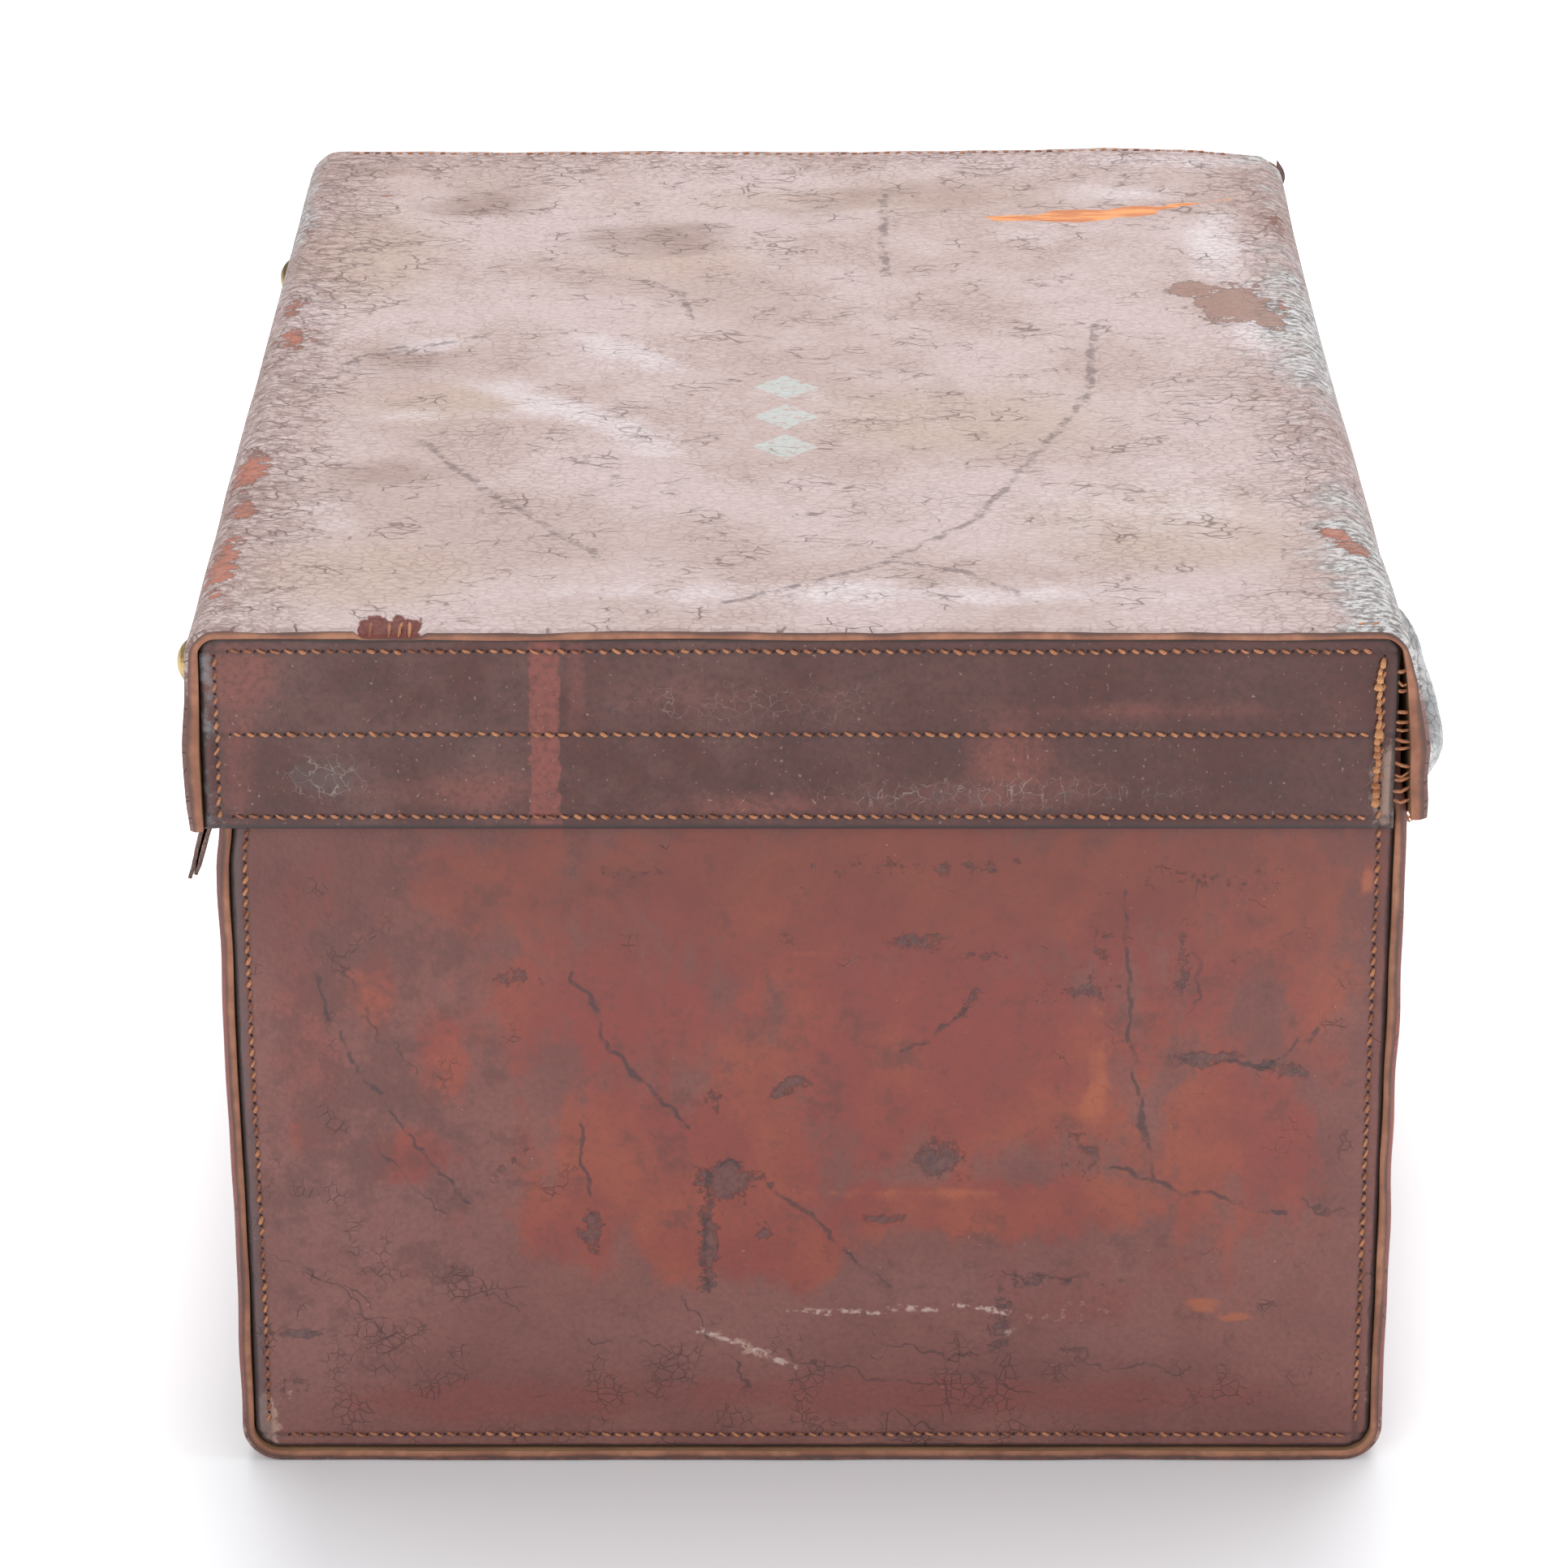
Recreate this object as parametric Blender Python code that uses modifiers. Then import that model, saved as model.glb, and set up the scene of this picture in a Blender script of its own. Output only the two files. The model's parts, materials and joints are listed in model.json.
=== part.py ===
"""A rectangular leather hat box with a deep hinged lid, in metres, +Z up.

The body and the lid are each one long strip of saddle leather folded into a U, with flat end
panels sewn between its sides. +X is the front, with the carrying handle and the lock. The lid
hinges on leather along the back, at -X. Y runs along the box. The origin is the centre of the
body's underside.
"""

import math

import bmesh
import bpy
from mathutils import Matrix, Vector

# Driving dimensions
LEATHER = 0.0036
THIN_LEATHER = 0.0014
BOARD = 0.0018
BRASS = 0.0016
GAP = 0.0003  # between pieces that touch
CUT = 0.01  # how far a cutter passes its wall

BODY_WIDTH = 0.350
BODY_LENGTH = 0.496
BODY_HEIGHT = 0.246
BODY_CORNER = 0.012

LID_LENGTH = 0.508
LID_TOP = 0.279
LID_FOOT = 0.214
LID_BACK = -0.1825
LID_FRONT = 0.1775
LID_FLARE = 0.004
LID_CORNER = 0.009
END_INSET = 0.001

LINING_DROP = 0.002  # from the body's rim to its linings
STOP_BACK = 0.0066
STOP_FRONT = 0.0042
STOP_END = 0.0051
LID_LINING_INSET = 0.004

HINGE_HALF = 0.242
HINGE_SEWN_TOP = 0.240
HINGE_SEWN_FOOT = 0.218
HINGE_UNDER_SKIRT = (-0.1774, 0.2112)
HINGE_HEM = (-0.1818, 0.196)
HINGE_BENDS = (0.004, 0.006)
HINGE_LID_TOP = 0.238
HINGE_LID_FOOT = 0.2185

STUD_RADIUS = 0.008
STUD_CROWN = 0.0072
STUD_EDGE = 0.001
STUD_FROM_END = 0.057
STUD_SHANK = 0.0018
WASHER_RADIUS = 0.006
WASHER_BORE = 0.0022
WASHER_THICK = 0.0008
WASHER_ROOM = 0.0075
PEEN_RADIUS = 0.0032
PEEN_HEIGHT = 0.0006

HANDLE_PIVOT = Vector((0.1815, 0.0, 0.170))
HANDLE_HALF = 0.080
HANDLE_REACH = 0.028
HANDLE_ROUND = 2.5
HANDLE_DROOP = math.radians(35)
GRIP_HALF = 0.064
GRIP_WIDTH = 0.026
GRIP_THICK = 0.011
GRIP_WALL = 0.0024
GRIP_TAPER = 0.2
CORE_WIDTH = 0.008
CORE_THICK = 0.0022

PIN_RADIUS = 0.0016
PIN_CLEARANCE = 0.0004
PIN_HEAD = 0.0011
EYE_RADIUS = 0.0042
EYE_HALF = 0.0025
EAR_THICK = 0.002
EAR_RADIUS = 0.0045
MOUNT_HALF_Y = 0.012
MOUNT_HALF_Z = 0.016
MOUNT_RIVET_Z = 0.0115

RIVET_SHANK = 0.0015
RIVET_HEAD = 0.003
LOCK_RIVET_HEAD = 0.0026
TONGUE_RIVET_HEAD = 0.0024
RIVET_PEEN = 0.0008

LOCK_HALF = 0.0255
LOCK_FOOT = 0.178
LOCK_TOP = 0.212
LOCK_DEPTH = 0.0125
LOCK_SHOULDER = 0.007
LOCK_RIVET_Y = 0.022
LOCK_RIVET_INSET = 0.0055
SLOT_LOW = 0.1815
SLOT_HIGH = 0.1856
SLOT_FLOOR = 0.005

BOLT_FOOT = 0.1860
BOLT_TOP = 0.1945
BOLT_LENGTH = 0.0075
BOLT_TRAVEL = 0.005
BOLT_GAP = 0.0006
BOLT_SIDE = 0.0005
BOLT_PLAY = 0.0004
BUTTON_RADIUS = 0.0038
BUTTON_HEIGHT = 0.003
STEM = 0.0015

TONGUE_HALF = 0.008
TONGUE_TOP = 0.242
TONGUE_FOOT = 0.1835
TONGUE_DEPTH = 0.0007
TONGUE_RIVET_Z = 0.234
TONGUE_RIVETS_Y = (-0.0045, 0.0045)

# Faces that follow from them
WALL = BODY_WIDTH / 2
WALL_INNER = WALL - LEATHER
BODY_END = BODY_LENGTH / 2
LID_END = LID_LENGTH / 2
PANEL_OUTER = BODY_END - END_INSET
PANEL_INNER = PANEL_OUTER - LEATHER
LINING_OUTER = WALL_INNER - GAP
LINING_INNER = LINING_OUTER - BOARD
SKIRT_BACK_INNER = LID_BACK + LEATHER
SKIRT_FRONT_INNER = LID_FRONT - LEATHER
RIM_REST = BODY_HEIGHT + GAP
LID_LINING_TOP = LID_TOP - LEATHER - GAP
LID_LINING_FOOT = LID_LINING_TOP - BOARD
STUD_Z = (LID_TOP + LID_FOOT) / 2
LOCK_BACK = WALL + GAP
LOCK_FACE = LOCK_BACK + LOCK_DEPTH
BOLT_START = TONGUE_HALF + BOLT_GAP
BUTTON_Y = BOLT_START + BOLT_LENGTH / 2

ENDS = ("near", "far")
UP = Vector((0, 0, 1))
FRONT = Vector((1, 0, 0))
BACK = Vector((-1, 0, 0))
ALONG = Vector((0, 1, 0))


# The scene, materials and basic shapes

def clear_scene():
    for obj in list(bpy.data.objects):
        bpy.data.objects.remove(obj)


def collection(name, hidden):
    made = bpy.data.collections.new(name)
    made.hide_render = hidden
    bpy.context.scene.collection.children.link(made)
    return made


def material(name, colour, roughness, metallic=0.0):
    made = bpy.data.materials.new(name)
    made.use_nodes = True
    shader = made.node_tree.nodes["Principled BSDF"]
    shader.inputs["Base Color"].default_value = (*colour, 1.0)
    shader.inputs["Roughness"].default_value = roughness
    shader.inputs["Metallic"].default_value = metallic
    made.diffuse_color = (*colour, 1.0)
    return made


def add(name, data, finish, smooth=False):
    obj = bpy.data.objects.new(name, data)
    parts.objects.link(obj)
    if not data.materials:
        data.materials.append(finish)
    if smooth:
        data.shade_smooth()
        data.set_sharp_from_angle(angle=math.radians(35))
    return obj


def mesh_from(name, work):
    data = bpy.data.meshes.new(name)
    work.to_mesh(data)
    work.free()
    return data


def box_mesh(name, low, high):
    """A box between two corners, as mesh data about its own middle, and that middle."""
    low, high = Vector(low), Vector(high)
    work = bmesh.new()
    bmesh.ops.create_cube(work, size=1.0)
    bmesh.ops.scale(work, vec=high - low, verts=work.verts)
    return mesh_from(name, work), (low + high) / 2


def box(name, low, high, finish, bevel=0.0):
    data, middle = box_mesh(name, low, high)
    obj = add(name, data, finish)
    obj.location = middle
    if bevel:
        soften(obj, bevel)
    return obj


def soften(obj, width, segments=2):
    edge = obj.modifiers.new("soft_edges", "BEVEL")
    edge.width = width
    edge.segments = segments
    edge.limit_method = "ANGLE"
    edge.angle_limit = math.radians(40)
    return edge


def rod_mesh(name, radius, length, sides=20):
    """A cylinder along Z about its own middle."""
    work = bmesh.new()
    bmesh.ops.create_cone(work, cap_ends=True, segments=sides, radius1=radius, radius2=radius,
                          depth=length)
    return mesh_from(name, work)


def aim(obj, middle, direction):
    """Puts an object's +Z along a direction, at a point."""
    obj.location = middle
    obj.rotation_euler = UP.rotation_difference(direction).to_euler()


def rounded(corners, radii, closed, steps=6):
    """Points of a path through 2D corners, each corner replaced by an arc of its radius."""
    count = len(corners)
    points = []
    for i, corner in enumerate(corners):
        corner = Vector(corner)
        ends = not closed and i in (0, count - 1)
        if ends or not radii[i]:
            points.append(corner)
            continue
        before = (Vector(corners[i - 1]) - corner).normalized()
        after = (Vector(corners[(i + 1) % count]) - corner).normalized()
        half = before.angle(after) / 2
        middle = corner + (before + after).normalized() * radii[i] / math.sin(half)
        first = corner + before * radii[i] / math.tan(half) - middle
        last = corner + after * radii[i] / math.tan(half) - middle
        swing = first.angle_signed(last)
        for step in range(steps + 1):
            turn = Matrix.Rotation(-swing * step / steps, 2)
            points.append(middle + turn @ first)
    return points


def bent_strip(name, path, thickness, end, finish, into):
    """A sheet of leather bent along an XZ path and running from -end to end in Y.

    into is -1 or 1: the side of the path on which the thickness lies.
    """
    work = bmesh.new()
    lines = [[work.verts.new((x, y, z)) for x, z in path] for y in (-end, end)]
    near, far = lines
    for i in range(len(path) - 1):
        work.faces.new((near[i], near[i + 1], far[i + 1], far[i]))
    obj = add(name, mesh_from(name, work), finish, smooth=True)
    shell = obj.modifiers.new("thickness", "SOLIDIFY")
    shell.thickness = thickness
    shell.offset = into
    shell.use_even_offset = True
    return obj


def panel(name, outline, low, high, finish):
    """A flat outline in XZ, filled and extruded in Y between low and high."""
    data = bpy.data.curves.new(name, "CURVE")
    data.dimensions = "2D"
    data.fill_mode = "BOTH"
    data.extrude = (high - low) / 2
    line = data.splines.new("POLY")
    line.points.add(len(outline) - 1)
    for point, (x, z) in zip(line.points, outline):
        point.co = (x, z, 0, 1)
    line.use_cyclic_u = True
    obj = add(name, data, finish)
    obj.location = (0, (low + high) / 2, 0)
    obj.rotation_euler = (math.pi / 2, 0, 0)
    return obj


def turned(name, profile, at, direction, finish, steps=20):
    """A piece turned about a direction: (radius, height) points from the top down its outer side."""
    work = bmesh.new()
    corners = [work.verts.new((radius, 0, height)) for radius, height in profile]
    for first, second in zip(corners, corners[1:]):
        work.edges.new((first, second))
    obj = add(name, mesh_from(name, work), finish)
    lathe = obj.modifiers.new("turn", "SCREW")
    lathe.steps = lathe.render_steps = steps
    lathe.use_merge_vertices = True
    lathe.merge_threshold = 0.00001
    lathe.use_smooth_shade = True
    aim(obj, at, direction)
    return obj


def cutter(name, data, middle, direction=UP):
    obj = bpy.data.objects.new(name, data)
    cutters.objects.link(obj)
    obj.hide_render = True
    obj.display_type = "WIRE"
    aim(obj, middle, direction)
    return obj


def cut(obj, tool, operation="DIFFERENCE"):
    step = obj.modifiers.new(operation.lower(), "BOOLEAN")
    step.operation = operation
    step.solver = "EXACT"
    step.object = tool
    return step


def box_cutter(name, low, high):
    return cutter(name, *box_mesh(name, low, high))


def rod_cutter(name, radius, start, end, sides=20):
    start, end = Vector(start), Vector(end)
    rod = rod_mesh(name, radius, (end - start).length, sides)
    return cutter(name, rod, (start + end) / 2, end - start)


def rod_group(name, radius, low, high, places):
    """One cutter with a rod along X at each (y, z), from x = low to x = high."""
    work = bmesh.new()
    for y, z in places:
        turn = Matrix.Translation(((low + high) / 2, y, z)) @ Matrix.Rotation(math.pi / 2, 4, "Y")
        bmesh.ops.create_cone(work, cap_ends=True, segments=16, radius1=radius, radius2=radius,
                              depth=high - low, matrix=turn)
    return cutter(name, mesh_from(name, work), Vector())


def dome(radius, height, foot, steps=5):
    """Points of a domed head from its crown down to its rim, which stands at foot."""
    points = []
    for step in range(steps + 1):
        turn = math.pi / 2 * step / steps
        points.append((radius * math.sin(turn), foot + height * math.cos(turn)))
    return points


def rivet(name, y, z, outer, inner, head, peened=True):
    """A brass rivet along X, domed on x = outer, with a flat head beyond x = inner if peened."""
    length = outer - inner
    profile = dome(head, head * 0.55, GAP)
    profile.append((RIVET_SHANK, GAP))
    if peened:
        foot = -length - GAP
        end = foot - RIVET_PEEN
        profile += [(RIVET_SHANK, foot), (head * 0.8, foot), (head * 0.7, end), (0, end)]
    else:
        profile += [(RIVET_SHANK, -length), (0, -length)]
    return turned(name, profile, (outer, y, z), FRONT, brass, steps=16)


# The two U-shaped strips and their end panels

def body_wrap():
    path = rounded(((WALL, BODY_HEIGHT), (WALL, 0), (-WALL, 0), (-WALL, BODY_HEIGHT)),
                   (0, BODY_CORNER, BODY_CORNER, 0), closed=False)
    obj = bent_strip("body_wrap", path, LEATHER, BODY_END, leather_red, into=-1)
    cut(obj, front_holes)
    return obj


def body_end(name, side):
    foot = LEATHER + GAP
    outline = rounded(((-LINING_OUTER, foot), (LINING_OUTER, foot), (LINING_OUTER, BODY_HEIGHT),
                       (-LINING_OUTER, BODY_HEIGHT)),
                      (BODY_CORNER - foot, BODY_CORNER - foot, 0, 0), closed=True)
    low, high = sorted((side * PANEL_INNER, side * PANEL_OUTER))
    return panel(name, outline, low, high, leather_red)


def lid_wrap():
    path = rounded(((LID_FRONT + LID_FLARE, LID_FOOT), (LID_FRONT, LID_TOP), (LID_BACK, LID_TOP),
                    (LID_BACK, LID_FOOT)), (0, LID_CORNER, LID_CORNER, 0), closed=False)
    obj = bent_strip("lid_wrap", path, LEATHER, LID_END, leather_pale, into=1)
    cut(obj, stud_holes)
    cut(obj, tongue_holes)
    return obj


def lid_end(name, side, front_foot):
    """An end panel of the lid; front_foot is the X of its lower front corner."""
    top = LID_LINING_TOP
    back = SKIRT_BACK_INNER + GAP
    front = SKIRT_FRONT_INNER - GAP
    inner_corner = LID_CORNER - LEATHER
    outline = rounded(((back, LID_FOOT), (front_foot, LID_FOOT), (front, top), (back, top)),
                      (0, 0, inner_corner, inner_corner), closed=True)
    outer = LID_END - END_INSET
    low, high = sorted((side * (outer - LEATHER), side * outer))
    return panel(name, outline, low, high, leather_dark)


# Linings and stops

def linings():
    foot = LEATHER + GAP
    end = PANEL_INNER - GAP
    flat = WALL - BODY_CORNER
    top = BODY_HEIGHT - LINING_DROP
    box("lining_bottom", (-flat, -end + BOARD + GAP, foot), (flat, end - BOARD - GAP, foot + BOARD),
        linen)
    for name, side in (("lining_front", 1), ("lining_back", -1)):
        low, high = sorted((side * LINING_INNER, side * LINING_OUTER))
        wall = box(name, (low, -end, BODY_CORNER), (high, end, top), linen)
        if side > 0:
            cut(wall, front_holes)
    for name, side in (("lining_end_near", -1), ("lining_end_far", 1)):
        low, high = sorted((side * (end - BOARD), side * end))
        box(name, (-LINING_INNER + GAP, low, BODY_CORNER), (LINING_INNER - GAP, high, top), linen)


def lid_inside():
    end = LID_END - END_INSET - LEATHER - GAP
    back = SKIRT_BACK_INNER + GAP
    front = SKIRT_FRONT_INNER - GAP
    top = LID_TOP - LID_CORNER
    softness = 0.0006
    box("lid_lining_top", (back + LID_LINING_INSET, -end, LID_LINING_FOOT),
        (front - LID_LINING_INSET, end, LID_LINING_TOP), linen)
    box("lid_stop_front", (front - STOP_FRONT, -end, RIM_REST), (front, end, top), wood, softness)
    back_stop = box("lid_stop_back", (back, -end, RIM_REST), (back + STOP_BACK, end, top), wood)
    cut(back_stop, washer_room)
    for name, side in (("lid_stop_near", -1), ("lid_stop_far", 1)):
        low, high = sorted((side * (end - STOP_END), side * end))
        box(name, (back + STOP_BACK + GAP, low, RIM_REST), (front - STOP_FRONT - GAP, high, top),
            wood, softness)


# The leather hinge and the studs on the back of the lid

def hinge_body_leaf():
    """Sewn to the back wall, then folded out and down so that it hangs below the skirt."""
    sewn = -WALL - GAP
    path = rounded(((sewn, HINGE_SEWN_TOP), (sewn, HINGE_SEWN_FOOT), HINGE_UNDER_SKIRT, HINGE_HEM),
                   (0, *HINGE_BENDS, 0), closed=False, steps=3)
    return bent_strip("hinge_body_leaf", path, THIN_LEATHER, HINGE_HALF, leather_strap, into=-1)


def hinge_lid_leaf():
    sewn = SKIRT_BACK_INNER + GAP
    return box("hinge_lid_leaf", (sewn, -HINGE_HALF, HINGE_LID_FOOT),
               (sewn + THIN_LEATHER, HINGE_HALF, HINGE_LID_TOP), leather_strap)


def stud(name, washer_name, y):
    """A domed stud whose shank passes the skirt and a washer, and is peened inside."""
    foot = LID_BACK - GAP
    face = -LEATHER - 2 * GAP
    end = face - WASHER_THICK
    peen = end - GAP
    profile = dome(STUD_RADIUS, STUD_CROWN, STUD_EDGE, steps=7)
    profile += [(STUD_RADIUS, 0), (STUD_SHANK, 0), (STUD_SHANK, peen), (PEEN_RADIUS, peen),
                (PEEN_RADIUS - 0.0004, peen - PEEN_HEIGHT), (0, peen - PEEN_HEIGHT)]
    turned(name, profile, (foot, y, STUD_Z), BACK, brass, steps=24)
    washer = [(WASHER_RADIUS, face), (WASHER_RADIUS, end), (WASHER_BORE, end), (WASHER_BORE, face),
              (WASHER_RADIUS, face)]
    turned(washer_name, washer, (foot, y, STUD_Z), BACK, brass, steps=20)


# The handle

def handle_plane(along, out, off=0.0):
    """World point of a place in the handle's plane: along Y, out from the pins, off the plane."""
    droop = Matrix.Rotation(HANDLE_DROOP, 3, "Y")
    return HANDLE_PIVOT + droop @ Vector((out, along, off))


def handle_line(half, count):
    """Points (along, out) of the handle's middle line between -half and half: a superellipse."""
    power = 2 / HANDLE_ROUND
    limit = math.acos(min(1.0, (half / HANDLE_HALF) ** (1 / power)))
    points = []
    for i in range(count + 1):
        turn = limit + (math.pi - 2 * limit) * i / count
        along = -math.copysign(HANDLE_HALF * abs(math.cos(turn)) ** power, math.cos(turn))
        points.append((along, HANDLE_REACH * math.sin(turn) ** power))
    return points


def section(name, width, thick, sides):
    """A closed oval outline to sweep along the handle: thick in its plane, width across it."""
    data = bpy.data.curves.new(name, "CURVE")
    data.dimensions = "2D"
    line = data.splines.new("POLY")
    line.points.add(sides - 1)
    for i, point in enumerate(line.points):
        turn = 2 * math.pi * (i + 0.5) / sides
        point.co = (thick / 2 * math.cos(turn), width / 2 * math.sin(turn), 0, 1)
    line.use_cyclic_u = True
    obj = bpy.data.objects.new(name, data)
    cutters.objects.link(obj)
    obj.hide_render = True
    return obj


def swept(name, line, outline, caps, scales, finish):
    """Sweeps an outline along the handle's line, as a mesh in world space."""
    data = bpy.data.curves.new(name, "CURVE")
    data.dimensions = "2D"
    data.bevel_mode = "OBJECT"
    data.bevel_object = outline
    data.use_fill_caps = caps
    path = data.splines.new("POLY")
    path.points.add(len(line) - 1)
    for point, (along, out), scale in zip(path.points, line, scales):
        point.co = (along, out, 0, 1)
        point.radius = scale
    guide = bpy.data.objects.new(name + "_line", data)
    cutters.objects.link(guide)
    axes = Matrix((handle_plane(1, 0) - HANDLE_PIVOT, handle_plane(0, 1) - HANDLE_PIVOT,
                   handle_plane(0, 0, -1) - HANDLE_PIVOT)).transposed()
    place = Matrix.Translation(HANDLE_PIVOT) @ axes.to_4x4()
    bpy.context.view_layer.update()
    graph = bpy.context.evaluated_depsgraph_get()
    mesh = bpy.data.meshes.new_from_object(guide.evaluated_get(graph))
    bpy.data.objects.remove(guide)
    work = bmesh.new()
    work.from_mesh(mesh)
    bpy.data.meshes.remove(mesh)
    bmesh.ops.remove_doubles(work, verts=work.verts, dist=0.00001)
    bmesh.ops.transform(work, matrix=place, verts=work.verts)
    bmesh.ops.recalc_face_normals(work, faces=work.faces)
    return add(name, mesh_from(name, work), finish, smooth=True)


def handle():
    """A steel core with an eye at each end, and the leather sleeve that tapers to its ends."""
    core_line = handle_line(HANDLE_HALF, 32)
    outline = section("core_outline", CORE_WIDTH, CORE_THICK, 8)
    core = swept("handle_core", core_line, outline, True, [1.0] * len(core_line), steel)
    eyes = [HANDLE_PIVOT + side * HANDLE_HALF * ALONG for side in (-1, 1)]
    for where, eye in zip(ENDS, eyes):
        half = EYE_HALF * ALONG
        cut(core, rod_cutter(f"eye_{where}", EYE_RADIUS, eye - half, eye + half), "UNION")
    for where, eye in zip(ENDS, eyes):
        half = CUT * ALONG
        bore = PIN_RADIUS + PIN_CLEARANCE
        cut(core, rod_cutter(f"eye_hole_{where}", bore, eye - half, eye + half, sides=16))
    grip_line = handle_line(GRIP_HALF, 24)
    scales = [1.0 - GRIP_TAPER * (abs(along) / GRIP_HALF) ** 3 for along, _ in grip_line]
    grip = swept("handle_grip", grip_line, section("grip_outline", GRIP_WIDTH, GRIP_THICK, 20), False,
                 scales, leather_strap)
    shell = grip.modifiers.new("thickness", "SOLIDIFY")
    shell.thickness = GRIP_WALL
    shell.offset = -1
    shell.use_even_offset = True
    return core, grip


def handle_mounts():
    """A plate with two ears for the pin of each handle end, and a plate inside the wall behind it."""
    plate = WALL + GAP
    face = plate + BRASS
    reach = EYE_HALF + PIN_CLEARANCE
    for side, where in ((-1, "near"), (1, "far")):
        y = side * HANDLE_HALF
        z = HANDLE_PIVOT.z
        mount = box(f"handle_mount_{where}", (plate, y - MOUNT_HALF_Y, z - MOUNT_HALF_Z),
                    (face, y + MOUNT_HALF_Y, z + MOUNT_HALF_Z), brass)
        for inner in (y - reach - EAR_THICK, y + reach):
            ear = box_cutter("ear_root", (face - BRASS / 3, inner, z - EAR_RADIUS),
                             (HANDLE_PIVOT.x, inner + EAR_THICK, z + EAR_RADIUS))
            cut(mount, ear, "UNION")
            nose = rod_cutter("ear_nose", EAR_RADIUS, (HANDLE_PIVOT.x, inner, z),
                              (HANDLE_PIVOT.x, inner + EAR_THICK, z))
            cut(mount, nose, "UNION")
        bore = rod_cutter(f"pin_bore_{where}", PIN_RADIUS + GAP, (HANDLE_PIVOT.x, y - CUT, z),
                          (HANDLE_PIVOT.x, y + CUT, z), sides=16)
        cut(mount, bore)
        cut(mount, front_holes)
        handle_pin(f"handle_pin_{where}", y, reach + EAR_THICK)
        inside = LINING_INNER - GAP
        half = MOUNT_HALF_Y / 2
        plate_back = box(f"handle_backplate_{where}", (inside - BRASS, y - half, z - MOUNT_HALF_Z),
                         (inside, y + half, z + MOUNT_HALF_Z), brass)
        cut(plate_back, front_holes)


def handle_pin(name, y, half):
    """A headed pin through both ears, peened at its other end."""
    head = PIN_RADIUS * 1.6
    reach = half + GAP
    crown = reach + PIN_HEAD
    peen = -reach - 0.8 * PIN_HEAD
    profile = [(0, crown), (head * 0.8, crown), (head, reach + PIN_HEAD / 2), (head, reach),
               (PIN_RADIUS, reach), (PIN_RADIUS, -reach), (head, -reach), (head * 0.8, peen),
               (0, peen)]
    turned(name, profile, (HANDLE_PIVOT.x, y, HANDLE_PIVOT.z), ALONG, brass, steps=16)


def handle_rivet_places():
    return [(side * HANDLE_HALF, HANDLE_PIVOT.z + lift) for side in (-1, 1)
            for lift in (-MOUNT_RIVET_Z, MOUNT_RIVET_Z)]


# The lock

def lock_rivet_places():
    heights = (LOCK_FOOT + LOCK_RIVET_INSET, LOCK_TOP - LOCK_RIVET_INSET)
    return [(side * LOCK_RIVET_Y, z) for side in (-1, 1) for z in heights]


def lock():
    """A case with a slot for the tongue, and the bolt that slides in it, worked by a button."""
    case = box("lock_case", (LOCK_BACK, -LOCK_HALF, LOCK_FOOT), (LOCK_FACE, LOCK_HALF, LOCK_TOP), brass)
    for side in (-1, 1):
        low, high = sorted((side * (LOCK_HALF - LOCK_SHOULDER), side * (LOCK_HALF + CUT)))
        step = box_cutter("case_shoulder", (LOCK_BACK + BRASS, low, LOCK_FOOT - CUT),
                          (LOCK_FACE + CUT, high, LOCK_TOP + CUT))
        cut(case, step)
    slot = box_cutter("tongue_slot", (SLOT_LOW, -TONGUE_HALF - 2 * GAP, LOCK_FOOT + SLOT_FLOOR),
                      (SLOT_HIGH, TONGUE_HALF + GAP, LOCK_TOP + CUT))
    cut(case, slot)
    pocket = box_cutter("bolt_pocket", (SLOT_LOW, TONGUE_HALF - 0.001, BOLT_FOOT - BOLT_PLAY),
                        (SLOT_HIGH, BOLT_START + BOLT_LENGTH + BOLT_PLAY, BOLT_TOP + BOLT_PLAY))
    cut(case, pocket)
    middle = (BOLT_FOOT + BOLT_TOP) / 2
    half = STEM + BOLT_PLAY
    window = box_cutter("button_slot", (SLOT_HIGH - 0.001, BUTTON_Y - half - BOLT_TRAVEL, middle - half),
                        (LOCK_FACE + CUT, BUTTON_Y + half, middle + half))
    cut(case, window)
    cut(case, front_holes)
    inside = LINING_INNER - GAP
    back = box("lock_backplate", (inside - BRASS, -LOCK_HALF, LOCK_FOOT),
               (inside, LOCK_HALF, LOCK_TOP), brass)
    cut(back, front_holes)
    bolt = box("lock_bolt", (SLOT_LOW + BOLT_SIDE, BOLT_START, BOLT_FOOT),
               (SLOT_HIGH - BOLT_SIDE, BOLT_START + BOLT_LENGTH, BOLT_TOP), steel, bevel=GAP)
    stem_end = SLOT_HIGH - LOCK_FACE - 0.0002
    profile = [(0, BUTTON_HEIGHT), (BUTTON_RADIUS * 0.8, BUTTON_HEIGHT),
               (BUTTON_RADIUS, BUTTON_HEIGHT * 0.8), (BUTTON_RADIUS, 2 * GAP), (STEM, 2 * GAP),
               (STEM, stem_end), (0, stem_end)]
    button = turned("lock_button", profile, (LOCK_FACE, BUTTON_Y, middle), FRONT, brass, steps=20)
    return bolt, button


def skirt_face(z):
    """X of the front skirt's outer face at a height."""
    return LID_FRONT + LID_FLARE * (LID_TOP - z) / (LID_TOP - LID_FOOT)


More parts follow.
